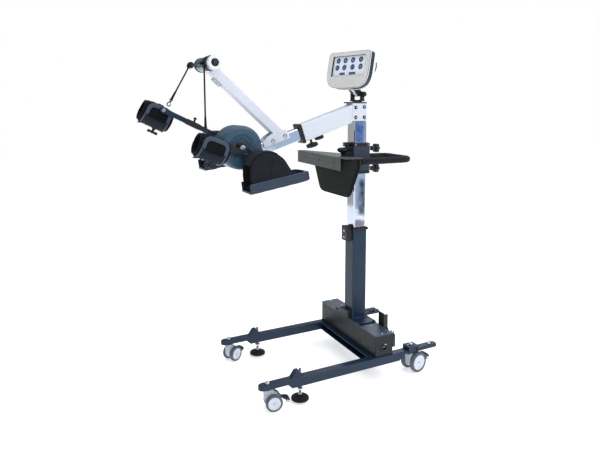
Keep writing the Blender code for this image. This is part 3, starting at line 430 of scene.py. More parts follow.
BINDING = look("binding_tape", (13, 14, 17), 0.88, vary=0.2, scale=60, grain=2600, bump=0.7, depth=0.0005, sheen=0.10, spec=0.15, weave=0.0008)
WEBBING = look("webbing", (24, 26, 31), 0.85, vary=0.22, scale=60, grain=2200, bump=0.9, depth=0.0007, sheen=0.15, spec=0.2, weave=0.0011, weave_depth=0.8)
THREAD = look("thread", (44, 48, 56), 0.8, vary=0.2, scale=400, grain=3000, bump=0.6, depth=0.0003, sheen=0.2)
SOLE = look("sole_blue", (36, 52, 72), 0.46, vary=0.10, scale=20, grain=1300, bump=0.35, depth=0.0003, spec=0.45)
SOLE_LIGHT = look("sole_blue_rim", (50, 66, 88), 0.42, vary=0.08, scale=20, grain=1300, bump=0.3, depth=0.0003)
SOLE_DARK = look("sole_blue_panel", (28, 36, 48), 0.55, vary=0.14, scale=30, grain=1300, bump=0.35, depth=0.0003)
DRUM_BLUE = look("drum_blue", (50, 82, 106), 0.34, vary=0.08, scale=12, grain=900, bump=0.18, depth=0.0003, coat=0.2)
DRUM_DARK = look("drum_dark", (26, 36, 48), 0.45, vary=0.12, scale=12, grain=900, bump=0.2, depth=0.0003)
SHELF = look("shelf_paint", (78, 84, 84), 0.52, vary=0.10, scale=18, grain=1500, bump=0.45, depth=0.0003, spec=0.35)
GUARD = look("guard_cover", (17, 20, 19), 0.86, vary=0.20, scale=24, grain=1600, bump=0.7, depth=0.0006, sheen=0.10, spec=0.18, weave=0.0017)
DISC = look("wheel_disc", (214, 221, 232), 0.40, vary=0.03, scale=30, grain=1500, bump=0.18, depth=0.0002)
TREAD = look("wheel_tread", (92, 96, 108), 0.62, vary=0.10, scale=60, grain=1300, bump=0.4, depth=0.0003, spec=0.3)
HOOD = look("caster_hood", (178, 190, 200), 0.42, vary=0.05, scale=30, grain=1500, bump=0.25, depth=0.0002)
BEZEL = look("bezel_silver", (228, 228, 225), 0.38, vary=0.12, scale=10, grain=1500, bump=0.15, depth=0.0002, speckle=0.6)
GASKET = look("gasket_brown", (84, 74, 72), 0.55, vary=0.08, grain=1200, bump=0.2, depth=0.0002)
BAND = look("band_blue", (40, 50, 70), 0.42, vary=0.10, grain=1400, bump=0.3, depth=0.0002)
SCREEN = look("screen_white", (226, 230, 240), 0.12, vary=0.02, scale=8, grain=300, bump=0.0, emission=0.25, coat=0.5)
ICON = look("icon_blue", (40, 88, 130), 0.3, vary=0.10, scale=60, grain=600, bump=0.0, emission=0.08)
GLYPH = look("icon_white", (150, 184, 210), 0.3, vary=0.02, grain=600, bump=0.0, emission=0.05)
BUTTON = look("button_blue", (54, 72, 118), 0.3, vary=0.10, scale=60, grain=600, bump=0.0, emission=0.08)
FOAM = look("grip_foam", (22, 23, 27), 0.80, vary=0.2, scale=50, grain=1400, bump=0.9, depth=0.0009, sheen=0.30, sheen_tint=(120, 135, 170), spec=0.25)
ROPE = look("rope_braid", (34, 27, 31), 0.88, vary=0.20, scale=300, grain=1500, bump=0.7, depth=0.0006, sheen=0.04, spec=0.10, weave=0.0022, weave_depth=0.6)

# ------------------------------------------------------------------ pieces


def add(name, body, parts, stands_for=(), slot=None, sharp=38, weighted=True, subdivide=0):
    """One visible piece out of shapes with their materials; it rides on a body and may stand for CAD nodes."""
    bm = bmesh.new()
    mats = []
    for mesh, mat in parts:
        if mat not in mats:
            mats.append(mat)
        start = len(bm.faces)
        bm.from_mesh(mesh)
        bm.faces.ensure_lookup_table()
        for f in bm.faces[start:]:
            f.material_index = mats.index(mat)
        bpy.data.meshes.remove(mesh)
    bm.transform(SHIFT)
    mesh = bpy.data.meshes.new(name)
    bm.to_mesh(mesh)
    bm.free()
    for mat in mats:
        mesh.materials.append(mat)
    mesh.shade_smooth()
    mesh.set_sharp_from_angle(angle=math.radians(sharp))
    obj = bpy.data.objects.new(name, mesh)
    SCENE.collection.objects.link(obj)
    if subdivide:
        sub = obj.modifiers.new("finer", "SUBSURF")
        sub.levels = sub.render_levels = subdivide
    if weighted:
        normals = obj.modifiers.new("normals", "WEIGHTED_NORMAL")
        normals.keep_sharp = True
    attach(obj, body)
    if stands_for:
        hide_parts(*stands_for)
    return obj


def paint(node, material):
    """A kept CAD node gets its material."""
    data = NODES[node].data
    data.materials.clear()
    data.materials.append(material)


def puff(mesh, voxel, pressure, cap, frames=20):
    """Cloth under a little pressure: remeshed, blown up, held to a cap; the shape comes back with no cloth on it."""
    obj = bpy.data.objects.new("soft", mesh)
    SCENE.collection.objects.link(obj)
    remesh = obj.modifiers.new("remesh", "REMESH")
    remesh.mode = "VOXEL"
    remesh.voxel_size = voxel
    bpy.context.view_layer.update()
    base = bpy.data.meshes.new_from_object(obj.evaluated_get(bpy.context.evaluated_depsgraph_get()))
    bpy.data.objects.remove(obj, do_unlink=True)
    obj = bpy.data.objects.new("soft", base.copy())
    SCENE.collection.objects.link(obj)
    cloth = obj.modifiers.new("cloth", "CLOTH")
    c = cloth.settings
    c.use_pressure = True
    c.uniform_pressure_force = pressure
    c.effector_weights.gravity = 0
    c.quality = 5
    c.mass = 0.3
    c.tension_stiffness = c.compression_stiffness = 15
    c.bending_stiffness = 0.5
    cloth.point_cache.frame_start = 1
    cloth.point_cache.frame_end = frames
    for f in range(1, frames + 1):
        SCENE.frame_set(f)
    bpy.context.view_layer.update()
    blown = bpy.data.meshes.new_from_object(obj.evaluated_get(bpy.context.evaluated_depsgraph_get()))
    SCENE.frame_set(1)
    for v, w in zip(base.vertices, blown.vertices):
        d = w.co - v.co
        if d.length > cap:
            d = d.normalized() * cap
        v.co = v.co + d
    bpy.data.objects.remove(obj, do_unlink=True)
    bpy.data.meshes.remove(blown)
    bm = bmesh.new()
    bm.from_mesh(base)
    for _ in range(3):
        bmesh.ops.smooth_vert(bm, verts=bm.verts[:], factor=0.5, use_axis_x=True, use_axis_y=True, use_axis_z=True)
    bpy.data.meshes.remove(base)
    return finish(bm)


def surface(mesh):
    """A finder of the nearest point of a shape, lifted off it by a little."""
    bm = bmesh.new()
    bm.from_mesh(mesh)
    tree = BVHTree.FromBMesh(bm)
    bm.free()

    def on(p, lift=0.0):
        co, normal, _, _ = tree.find_nearest(Vector(p))
        return tuple(co + normal * lift)
    return on


def stitches(path, on=None, pitch=0.0042, size=0.0026, r=0.00045, lift=0.0003, m=I):
    """A row of small raised stitches along a path, laid on a surface."""
    bm = bmesh.new()
    pts = [Vector(p) for p in path]
    total = span_of(path)
    n = int(total / pitch)
    marks = []
    walked, i = 0.0, 0
    for k in range(n):
        s = (k + 0.5) * pitch
        while i < len(pts) - 2 and walked + (pts[i + 1] - pts[i]).length < s:
            walked += (pts[i + 1] - pts[i]).length
            i += 1
        d = pts[i + 1] - pts[i]
        if d.length < 1e-9:
            continue
        marks.append((pts[i] + d * ((s - walked) / d.length), d.normalized()))
    for p, d in marks:
        a, b = p - d * size / 2, p + d * size / 2
        if on:
            a, b = Vector(on(a, lift)), Vector(on(b, lift))
        axis = (b - a)
        if axis.length < 1e-6:
            continue
        turn = axis.to_track_quat("Z", "Y").to_matrix().to_4x4()
        turn.translation = (a + b) / 2
        bmesh.ops.create_icosphere(bm, subdivisions=1, radius=1.0, matrix=turn @ Matrix.Diagonal((r, r, axis.length / 2 + r, 1.0)))
    bm.transform(m)
    return finish(bm)


def tape(path, on=None, r=0.0022, cyclic=False, lift=0.0, step=0.004, m=I):
    """A rounded binding along a path, laid on a surface."""
    pts = spaced(list(path) + ([path[0]] if cyclic else []), step)
    if cyclic:
        pts = pts[:-1]
    if on:
        pts = [on(p, lift) for p in pts]
    return pipe(pts, r, cyclic=cyclic, resolution=3, m=m)


def band(path, across, width, thick, m=I):
    """A flat strap along a path: across is the direction of its width at each point."""
    bm = bmesh.new()
    pts = [Vector(p) for p in path]
    a = Vector(across).normalized()
    rows = []
    for i, p in enumerate(pts):
        d = (pts[min(i + 1, len(pts) - 1)] - pts[max(i - 1, 0)]).normalized()
        n = a.cross(d).normalized()
        rows.append([bm.verts.new(p + a * (width * (j / 6 - 0.5)) + n * thick * (0.5 if 0 < j < 6 else 0.2)) for j in range(7)]
                    + [bm.verts.new(p + a * (width * (j / 6 - 0.5)) - n * thick * (0.5 if 0 < j < 6 else 0.2)) for j in range(6, -1, -1)])
    for r0, r1 in zip(rows, rows[1:]):
        for j in range(14):
            k = (j + 1) % 14
            bm.faces.new((r0[j], r0[k], r1[k], r1[j]))
    bm.faces.new(rows[0])
    bm.faces.new(list(reversed(rows[-1])))
    bm.transform(m)
    return finish(bm)


def bead(points, r=0.0022, m=I):
    """A painted weld bead."""
    pts = spaced(points, 0.0024)
    return pipe(pts, r, m=m, resolution=3, radii=[1.0, 0.82, 1.08, 0.86, 1.04, 0.9, 1.12])


def hexagon(axis, centre, span, r, m=I, socket=0.0):
    """A hexagon head with a chamfered top. The socket argument is not used."""
    mesh = rod(axis, centre, span, r, m=m, segments=6, bevel=r * 0.12)
    return mesh


def cap_bolt(axis, centre, at, out, r, height, m=I):
    """A round bolt head: domed rim, hexagon socket; it stands out from `at` by height."""
    s = 1 if out > 0 else -1
    prof = [(r, 0), (r, height * 0.62), (r * 0.93, height * 0.86), (r * 0.82, height), (r * 0.52, height), (r * 0.48, height * 0.92), (r * 0.46, height * 0.35), (0, height * 0.30)]
    prof = [(a, at + s * b) for a, b in prof]
    return lathe(axis, centre, prof, m, steps=28)


# ------------------------------------------------------------------ driving dimensions, as in the CAD
ARM = sloped((-0.0463, 0.0, 1.2697), -18.5)
BOOM = sloped((-0.7337, 0.0, 1.450), 42.0)
HUB = (-0.765, 0.0, 1.488)
DRUM = (-0.635, 0.0, 1.124)
CRANK = (0.0615, -0.0447)
LEG = {"near": dict(side=-1, tilt=21.0, length=0.2255, stud=0.104, heel=(-0.0765, -0.1430)),
       "far": dict(side=1, tilt=26.17, length=0.2746, stud=0.130, heel=(-0.0600, -0.1560))}
PIN = {"near": (DRUM[0] + CRANK[0], DRUM[2] + CRANK[1]), "far": (DRUM[0] - CRANK[0], DRUM[2] - CRANK[1])}
PAD_MID = 0.147
FOOT_X, RAIL_Y = -0.445, 0.250

# ------------------------------------------------------------------ ropes
ROPE_R = 0.0035


def snap_hook(end, towards, name):
    """A snap hook below a rope's end: eye, swivel, bow and gate, about 34 mm long."""
    d = Vector(towards).normalized()
    side = Vector((0, 1, 0)).cross(d).normalized()
    m = axes(end, tuple(side), tuple(d))
    bow = [(0.0, 0, 0.0120), (0.0058, 0, 0.0145), (0.0078, 0, 0.0200), (0.0070, 0, 0.0262), (0.0030, 0, 0.0300), (-0.0030, 0, 0.0300), (-0.0068, 0, 0.0262), (-0.0075, 0, 0.0215)]
    eye = [(0.0052 * math.cos(a / 12 * math.pi), 0, 0.0015 + 0.0052 * math.sin(a / 12 * math.pi)) for a in range(24)]
    parts = [
        (pipe(eye, 0.0019, cyclic=True, m=m, resolution=4), BLACK_METAL),
        (lathe("Z", (0, 0), [(0, 0.0060), (0.0034, 0.0062), (0.0042, 0.0072), (0.0042, 0.0112), (0.0030, 0.0124), (0, 0.0126)], m, steps=20), BLACK_METAL),
        (pipe(bend(bow, 0.004, 4), 0.0024, m=m, resolution=4), BLACK_METAL),
        (pipe([(-0.0075, 0, 0.0218), (-0.0062, 0, 0.0165), (-0.0030, 0, 0.0128)], 0.0014, m=m, resolution=3), BLACK_METAL)]
    hook = add(f"snap_hook_{name}", "arm_inner", parts)
    s = Vector(end)
    sheath = lathe("Z", (0, 0), [(0.0036, -0.046), (0.0042, -0.045), (0.0048, -0.030), (0.0056, -0.006), (0.0060, -0.001), (0.0052, 0.002), (0, 0.0025)], m, steps=22)
    cover = add(f"rope_sheath_{name}", "arm_inner", [(sheath, RUBBER)])
    return hook, cover


def rope(name, points):
    """A rope: its curve ends where its snap hook begins."""
    curve = bpy.data.curves.new(f"rope_{name}", "CURVE")
    curve.dimensions = "3D"
    curve.bevel_depth = ROPE_R
    curve.bevel_resolution = 5
    curve.use_fill_caps = True
    spline = curve.splines.new("POLY")
    spline.points.add(len(points) - 1)
    for p, co in zip(spline.points, points):
        p.co = (*(Vector(co) + ORIGIN), 1)
    curve.materials.append(ROPE)
    obj = bpy.data.objects.new(f"support_rope_{name}", curve)
    SCENE.collection.objects.link(obj)
    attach(obj, "arm_inner")
    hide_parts(f"rope_{name}")
    a, b = Vector(points[-2]), Vector(points[-1])
    hook, cover = snap_hook(tuple(b), tuple(b - a), name)
    tuple(Vector(points[0]) + ORIGIN)
    round(span_of(points), 4)
    return obj


near_wrap = [(p[0], -0.050, p[1]) for p in arc((HUB[0], HUB[2]), 0.0260 + ROPE_R + 0.0004, 60, 175, 10)]
near_line = [(-0.7985, -0.0575, 1.460), (-0.8172, -0.124, 1.1870)]
cut = Vector(near_line[0]).lerp(Vector(near_line[1]), 1 - 0.034 / (Vector(near_line[1]) - Vector(near_line[0])).length)
rope("near", near_wrap + spaced([near_line[0], tuple(cut)], 0.018))
far_wrap = [(p[0], 0.140, p[1]) for p in arc((-0.801, HUB[2]), 0.0100 + ROPE_R + 0.0006, 35, 215, 12)]
far_line = [(-0.8235, 0.1385, 1.4590), (-0.9125, 0.1297, 1.3049)]
cut = Vector(far_line[0]).lerp(Vector(far_line[1]), 1 - 0.034 / (Vector(far_line[1]) - Vector(far_line[0])).length)
rope("far", far_wrap + spaced([far_line[0], tuple(cut)], 0.018))

# ------------------------------------------------------------------ base
for n in ("rail_near", "rail_far", "cross_channel", "outer_column"):
    paint(n, PAINT)
paint("base_box", BOXPAINT)
paint("box_lid", COVER)
paint("lift_actuator", STEEL)
paint("drive_motor", STEEL)
paint("control_unit", BLACK)
paint("rear_bracket", BLACK_METAL)
paint("inner_column", CHROME)
paint("actuator_rod", CHROME)
paint("arm_bracket", WHITE)
paint("outer_arm", WHITE)
paint("arm_end_ring", BLACK)
paint("inner_arm", CHROME)
paint("boom", WHITE)
paint("collar_shelf", SHELF)
paint("column_ring", BLACK)

for name, side in (("near", -1), ("far", 1)):
    y = side * RAIL_Y
    m = Matrix.Translation((0, y, 0))
    parts = []
    for s in (-1, 1):
        parts.append((bead([(-0.491, s * 0.0150, 0.1173), (-0.433, s * 0.0150, 0.1173)], 0.0019, m), WELD))
        parts.append((bead([(0.139, s * 0.0200, 0.1172), (0.197, s * 0.0200, 0.1172)], 0.0015, m), WELD))
    parts.append((bead([(-0.4915, -0.0145, 0.1173), (-0.4915, 0.0145, 0.1173)], 0.0019, m), WELD))
    parts.append((bead([(-0.4325, -0.0145, 0.1173), (-0.4325, 0.0145, 0.1173)], 0.0019, m), WELD))
    # welds of the cross channel
    inside = -side
    parts.append((bead([(-0.073, inside * 0.0200, 0.1150), (-0.073, inside * 0.0200, 0.079)], 0.0016, m), WELD))
    parts.append((bead([(-0.073, inside * 0.0200, 0.1172), (0.053, inside * 0.0200, 0.1172)], 0.0016, m), WELD))
    # gusset screw, rear cap bolt and saddle bolt
    slope = axes((-0.4440, y, 0.1335), (-0.020, 0, 0.027), (0.8, 0, 0.6))
    parts.append((lathe("Z", (0, 0), [(0.0075, -0.001), (0.0075, 0.0022), (0.0066, 0.0034), (0.0040, 0.0038), (0.0034, 0.0024), (0, 0.0022)], slope, steps=28), BOLT))
    parts.append((lathe("Z", (0.282, 0), [(0.0098, 0.1172), (0.0098, 0.1182), (0.0088, 0.1190), (0.0088, 0.1228), (0.0078, 0.1246), (0.0046, 0.1250), (0.0040, 0.1232), (0, 0.1230)], m, steps=32), BOLT))
    parts.append((cap_bolt("Y", (0.188, 0.1165), side * 0.0268, side, 0.0069, 0.0052, m), BLACK_METAL))
    parts.append((lathe("Z", (0.155, 0), [(0, 0.1352), (0, 0.1352), (0.0042, 0.1352), (0.0042, 0.1350)], m, steps=16), BOLT))
    add(f"rail_details_{name}", "base", parts, slot="blue_paint")
    # thread, nut and rubber pad of the levelling foot
    stem = [(0, 0.1520), (0.0048, 0.1515), (0.0058, 0.1500)]
    z = 0.1490
    while z > 0.040:
        stem += [(0.0060, z), (0.0051, z - 0.0010)]
        z -= 0.0020
    stem += [(0.0056, 0.0380), (0.0056, 0.0300), (0, 0.0300)]
    pad = [(0, 0.0300), (0.0085, 0.0300), (0.0105, 0.0290), (0.0120, 0.0248), (0.0180, 0.0226), (0.0250, 0.0212), (0.0350, 0.0192), (0.0385, 0.0180), (0.0398, 0.0162),
           (0.0400, 0.0142), (0.0392, 0.0134), (0.0392, 0.0124), (0.0400, 0.0116), (0.0398, 0.0098), (0.0385, 0.0090), (0, 0.0090)]
    c = (FOOT_X, y)
    nut = [(lathe("Z", c, stem, steps=24), STEEL), (lathe("Z", c, pad, steps=64), RUBBER),
           (rod("Z", c, (0.0302, 0.0362), 0.0100, segments=6, bevel=0.0010), BOLT),
           (rod("Z", c, (0.0520, 0.0595), 0.0110, segments=6, bevel=0.0010), BOLT),
           (lathe("Z", c, [(0.0062, 0.0597), (0.0130, 0.0597), (0.0130, 0.0609), (0.0062, 0.0609), (0.0062, 0.0597)], steps=32), BOLT)]
    add(f"levelling_foot_{name}", f"foot_{name}", nut, (f"leveling_foot_{name}",), "black_plastic")

# lid screws, end-face screw, seams of the box, column foot
parts = []
for x, y in [(-0.003, -0.2465), (0.0056, -0.1406), (0.0163, 0.1609), (-0.003, 0.2465)]:
    parts.append((lathe("Z", (x, y), [(0.0056, 0.2229), (0.0056, 0.2238), (0.0048, 0.2250), (0.0030, 0.2256), (0.0026, 0.2246), (0, 0.2244)], steps=24), BOLT))
for y in (-0.112, 0.112):
    for x in (-0.040, 0.040):
        parts.append((lathe("Z", (x, y), [(0.0070, 0.2299), (0.0070, 0.2330), (0.0062, 0.2342), (0.0036, 0.2346), (0.0030, 0.2326), (0, 0.2324)], steps=24), BLACK_METAL))
parts.append((cap_bolt("Y", (0.0067, 0.1712), -0.2618, -1, 0.0055, 0.0030), BOLT))
parts.append((cap_bolt("Y", (-0.034, 0.1712), -0.2618, -1, 0.0036, 0.0020), BLACK_METAL))
add("cover_screws", "base", parts, slot="steel")
parts = []
for a, b in (((-0.0405, -0.0405), (0.0405, -0.0405)), ((0.0405, -0.0405), (0.0405, 0.0405)), ((0.0405, 0.0405), (-0.0405, 0.0405)), ((-0.0405, 0.0405), (-0.0405, -0.0405))):
    parts.append((bead([(*a, 0.2305), (*b, 0.2305)], 0.0024), WELD))
add("column_weld", "base", parts, slot="blue_paint")
# overlap of the cover's side sheets, a shallow line round the box, and the inlet's frame
core = lambda: ("-", box((-0.0485, 0.0485), (-0.2605, 0.2605), (0.05, 0.30)))
parts = [(shaped(box((-0.0506, 0.0506), (-0.2626, 0.2626), (0.2184, 0.2202), bevel=0.0006, segments=2), core()), COVER),
         (shaped(box((-0.0504, 0.0504), (-0.2624, 0.2624), (0.1172, 0.1200), bevel=0.0006, segments=2), core()), BOXPAINT)]
add("box_seams", "base", parts, slot="box_paint")
inlet = shaped(flat("XZ", rounded((-0.0190, 0.0190), (0.1410, 0.1740), 0.004), (-0.2640, -0.2618), bevel=0.0008),
               ("-", box((-0.0150, 0.0150), (-0.30, -0.20), (0.1450, 0.1700))))
parts = [(inlet, BLACK)]
for x in (-0.0055, 0.0, 0.0055):
    parts.append((box((x - 0.0010, x + 0.0010), (-0.2600, -0.2500), (0.1545 + (0.003 if x == 0 else 0), 0.1600 + (0.003 if x == 0 else 0)), bevel=0.0003, segments=1), BOLT))
add("inlet_frame", "base", parts, slot="black_plastic")
# cable cover at the column's foot, cable, cable strap
parts = [(box((-0.0600, -0.0401), (-0.0300, 0.0450), (0.2275, 0.2700), bevel=0.0035), BLACK),
         (box((-0.0606, -0.0590), (-0.0180, 0.0330), (0.2360, 0.2620), bevel=0.0010, segments=2), BLACK_METAL)]
add("cable_cover", "base", parts, slot="black_plastic")
cable = bend([(0.0480, -0.1500, 0.2240), (0.0580, -0.1480, 0.2420), (0.0720, -0.1700, 0.2350), (0.0700, -0.2050, 0.2000), (0.0660, -0.2200, 0.1500), (0.0620, -0.2320, 0.1190)], 0.018, 8)
add("prop_rod", "base", [(pipe(cable, 0.0022), BLACK_METAL),
                         (band([(0.078, -0.0150, 0.2440), (0.0800, -0.0150, 0.2360), (0.0900, -0.0160, 0.2320), (0.1010, -0.0170, 0.2345), (0.1080, -0.0180, 0.2420)], (0.2, 1, 0.1), 0.0140, 0.0022), WEBBING)], slot="black_metal")
# wiper of the telescopic column and the clamp block's screw
wiper = shaped(box((-0.0415, 0.0415), (-0.0415, 0.0415), (0.6968, 0.7000), bevel=0.0012, segments=2), ("-", box((-0.0356, 0.0356), (-0.0356, 0.0356), (0.60, 0.75))))
parts = [(wiper, RUBBER)]
for z in (0.648, 0.682):
    parts.append((cap_bolt("X", (0.0, z), -0.0678, -1, 0.0058, 0.0036), BOLT))
parts.append((box((-0.0690, -0.0660), (-0.0225, 0.0225), (0.637, 0.694), bevel=0.0012, segments=2), BLACK_METAL))
add("column_wiper", "base", parts, slot="black_plastic")

# ------------------------------------------------------------------ casters
FRONT = dict(x=-0.603, R=0.0375, wide=0.020, off=0.0240, trail=0.025, top=0.0925, cap=0.1175)
REAR = dict(x=0.168, R=0.0500, wide=0.022, off=0.0300, trail=0.022, top=0.0985, cap=0.1355)
for title, spec, side, yaw in (("front_near", FRONT, -1, -11.6), ("front_far", FRONT, 1, 26.4), ("rear_near", REAR, -1, 9.0), ("rear_far", REAR, 1, 0.0)):
    at = (spec["x"], side * RAIL_Y)
    R, k, t, top = spec["R"], spec["R"] / 0.0375, spec["trail"], spec["top"]
    m = Matrix.Translation((*at, 0)) @ Matrix.Rotation(math.radians(yaw), 4, "Z")
    inner, outer = spec["off"] - spec["wide"] / 2, spec["off"] + spec["wide"] / 2
    h = inner - 0.0006
    hx, hz = t + 0.64 * R, R + 0.52 * R
    view = [(-0.017 * k, top), (0.017 * k, top), (t + 0.20 * R, R * 1.93), (t + 0.62 * R, R * 1.76), (t + 0.90 * R, R * 1.40),
            (t + 0.95 * R, R * 1.05), (t + 0.60 * R, R * 0.70), (t - 0.30 * R, R * 0.55), (t - 0.86 * R, R * 0.75), (-0.0155 * k, R * 1.30)]
    slot = 0.0072 * k
    hood = shaped(flat("XZ", bend(view, 0.010 * k, 5, cyclic=True), (-h, h), m, bevel=0.0032 * k, segments=3),
                  ("-", box((t + 0.36 * R, t + 1.3 * R), (-slot, slot), (R * 1.02, R * 2.2), m)))
    parts = [(hood, HOOD),
             (rod("Z", (0, 0), (top - 0.010, spec["cap"] + 0.002), 0.0059, m=m, segments=24), BOLT),
             (lathe("Z", (0, 0), [(0.0100, spec["cap"]), (0.0104, spec["cap"] + 0.0015), (0.0098, spec["cap"] + 0.0055), (0.0080, spec["cap"] + 0.0080), (0.0045, spec["cap"] + 0.0087), (0.0040, spec["cap"] + 0.0070), (0, spec["cap"] + 0.0068)], m, steps=36), BOLT),
             (lathe("Z", (0, 0), [(0.0062, top + 0.0002), (0.0150 * k, top + 0.0002), (0.0158 * k, top - 0.0010), (0.0158 * k, top - 0.0030), (0.0062, top - 0.0035), (0.0062, top + 0.0002)], m, steps=40), STEEL),
             (rod("Y", (hx, hz), (-slot - 0.002, slot + 0.002), 0.0026, m=m, segments=16), BOLT)]
    add(f"hood_{title}", f"swivel_{title}", parts, (f"caster_hood_{title}",), "hood_plastic")
    parts = []
    for s in (-1, 1):
        o, i_ = s * outer, s * inner
        w = s * 1.0
        tyre = [(0.735 * R, o - w * 0.0022), (0.80 * R, o - w * 0.0010), (0.90 * R, o - w * 0.0001), (0.945 * R, o - w * 0.0010), (0.978 * R, o - w * 0.0030), (0.996 * R, o - w * 0.0060), (R, (o + i_) / 2),
                (0.996 * R, i_ + w * 0.0060), (0.978 * R, i_ + w * 0.0030), (0.945 * R, i_ + w * 0.0010), (0.90 * R, i_ + w * 0.0001), (0.80 * R, i_ + w * 0.0010), (0.735 * R, i_ + w * 0.0022), (0.735 * R, o - w * 0.0022)]
        disc = [(0, o - w * 0.0030), (0.085 * R, o - w * 0.0030), (0.20 * R, o - w * 0.0034), (0.22 * R, o - w * 0.0042), (0.40 * R, o - w * 0.0042), (0.60 * R, o - w * 0.0034), (0.655 * R, o - w * 0.0022), (0.68 * R, o - w * 0.0012), (0.70 * R, o - w * 0.0008),
                (0.74 * R, o - w * 0.0018), (0.74 * R, i_ + w * 0.0018), (0.70 * R, i_ + w * 0.0010), (0.30 * R, i_ + w * 0.0030), (0, i_ + w * 0.0030)]
        parts.append((lathe("Y", (t, R), tyre, m, steps=72), TREAD))
        parts.append((lathe("Y", (t, R), disc, m, steps=72), DISC))
        axle = [(0.0046 * k, i_), (0.0046 * k, i_ + w * 0.004), (0, i_ + w * 0.004)]
        parts.append((lathe("Y", (t, R), [(0.13 * R, o - w * 0.0036), (0.13 * R, o - w * 0.0016), (0.115 * R, o - w * 0.0008), (0, o - w * 0.0006)], m, steps=32), HOOD))
        ribs = 9
        for q in range(ribs):
            a = 2 * math.pi * (q + 0.25) / ribs
            rm = m @ Matrix.Translation((t, 0, R)) @ Matrix.Rotation(a, 4, "Y")
            parts.append((box((0.26 * R, 0.63 * R), tuple(sorted((o - w * 0.0052, o - w * 0.0030))), (-0.0011, 0.0011), rm, bevel=0.0005, segments=1), DISC))
    parts.append((rod("Y", (t, R), (-inner - 0.003, inner + 0.003), 0.0040 * k, m=m, segments=20), BOLT))
    add(f"wheels_{title}", f"wheels_at_{title}", parts, (f"caster_wheels_{title}",), "caster_plastic")
    reach = t + R
    lever = [(hx - 0.0055, hz - 0.001), (hx - 0.003, hz + 0.0052), (hx + 0.005, hz + 0.006), (reach + 0.006 * k, 0.0525 * k), (reach + 0.024 * k, 0.0500 * k),
             (reach + 0.036 * k, 0.0400 * k), (reach + 0.033 * k, 0.0345 * k), (reach + 0.020 * k, 0.0400 * k), (reach + 0.004 * k, 0.0450 * k), (hx, hz - 0.0055)]
    tread = [(reach + 0.005 * k, 0.0530 * k), (reach + 0.024 * k, 0.0505 * k), (reach + 0.0365 * k, 0.0400 * k), (reach + 0.033 * k, 0.0338 * k),
             (reach + 0.019 * k, 0.0395 * k), (reach + 0.004 * k, 0.0445 * k)]
    parts = [(flat("XZ", bend(lever, 0.004 * k, 4, cyclic=True), (-slot + 0.0006, slot - 0.0006), m, bevel=0.0010, segments=2), BLACK),
             (flat("XZ", bend(tread, 0.004 * k, 4, cyclic=True), (-0.0135 * k, 0.0135 * k), m, bevel=0.0016, segments=3), BLACK),
             (rod("Y", (reach + 0.027 * k, 0.0335 * k), (-0.0125 * k, 0.0125 * k), 0.0083 * k, m=m, segments=32, bevel=0.0012), BLACK),
             (lathe("Y", (reach + 0.027 * k, 0.0335 * k), [(0, -0.0131 * k), (0.0052 * k, -0.0131 * k), (0.0060 * k, -0.0126 * k), (0.0060 * k, -0.0115 * k), (0, -0.0110 * k)], m, steps=28), BOLT),
             (lathe("Y", (reach + 0.027 * k, 0.0335 * k), [(0, 0.0131 * k), (0.0052 * k, 0.0131 * k), (0.0060 * k, 0.0126 * k), (0.0060 * k, 0.0115 * k), (0, 0.0110 * k)], m, steps=28), BOLT)]
    for q in range(4):
        x = reach + (0.009 + 0.0055 * q) * k
        z = 0.0527 * k - (0.0007 + 0.0005 * q) * k
        parts.append((rod("Y", (x, z), (-0.0105 * k, 0.0105 * k), 0.0010, m=m, segments=8), RUBBER))
    add(f"pedal_{title}", f"pedal_at_{title}", parts, (f"brake_pedal_{title}",), "black_plastic")

# ------------------------------------------------------------------ arm root, arm and knobs
parts = [(box((-0.0605, 0.0385), (-0.0295, 0.0295), (1.3204, 1.3272), bevel=0.0016), BLACK)]
for x, z in ((-0.027, 1.300), (0.0225, 1.3025), (-0.0265, 1.252), (0.0233, 1.252)):
    for s in (-1, 1):
        parts.append((lathe("Y", (x, z), [(0.0092, s * 0.0304), (0.0092, s * 0.0316), (0.0074, s * 0.0318), (0.0074, s * 0.0344), (0.0064, s * 0.0356), (0.0040, s * 0.0358), (0.0035, s * 0.0340), (0, s * 0.0338)], steps=32), GLOSS))
add("arm_bracket_details", "lift", parts, slot="black_plastic")
paint("arm_bracket", WHITE)
ring = shaped(box((0.2828, 0.2975), (-0.0345, 0.0345), (-0.0465, 0.0465), ARM, bevel=0.0035, segments=4),
              ("-", box((0.20, 0.40), (-0.0206, 0.0206), (-0.0296, 0.0296), ARM)))
parts = [(ring, BLACK)]
add("arm_end_collar", "lift", parts, ("arm_end_ring",), "black_plastic")
for name, s, low, r in (("arm_knob_rear", 0.197, -0.062, 0.0235), ("arm_knob_front", 0.244, -0.084, 0.0300)):
    n = 8
    head = [((r * (0.93 + 0.07 * math.cos(n * a))) * math.cos(a) + s, (r * (0.93 + 0.07 * math.cos(n * a))) * math.sin(a)) for a in [2 * math.pi * q / 96 for q in range(96)]]
    parts = [(flat("XY", head, (low + 0.0010, low + 0.0165), ARM, bevel=0.0042), BLACK),
             (lathe("Z", (s, 0), [(0, low), (r * 0.55, low), (r * 0.62, low + 0.0008), (r * 0.62, low + 0.0020), (0, low + 0.0020)], ARM, steps=36), DRUM_DARK),
             (lathe("Z", (s, 0), [(r * 0.62, low + 0.0160), (r * 0.50, low + 0.0176), (0.0062, low + 0.0178), (0.0060, -0.0440), (0.0078, -0.0436), (0.0078, -0.0424), (0, -0.0424)], ARM, steps=36), BLACK)]
    add(f"clamp_{name}", name, parts, (name,), "black_plastic")

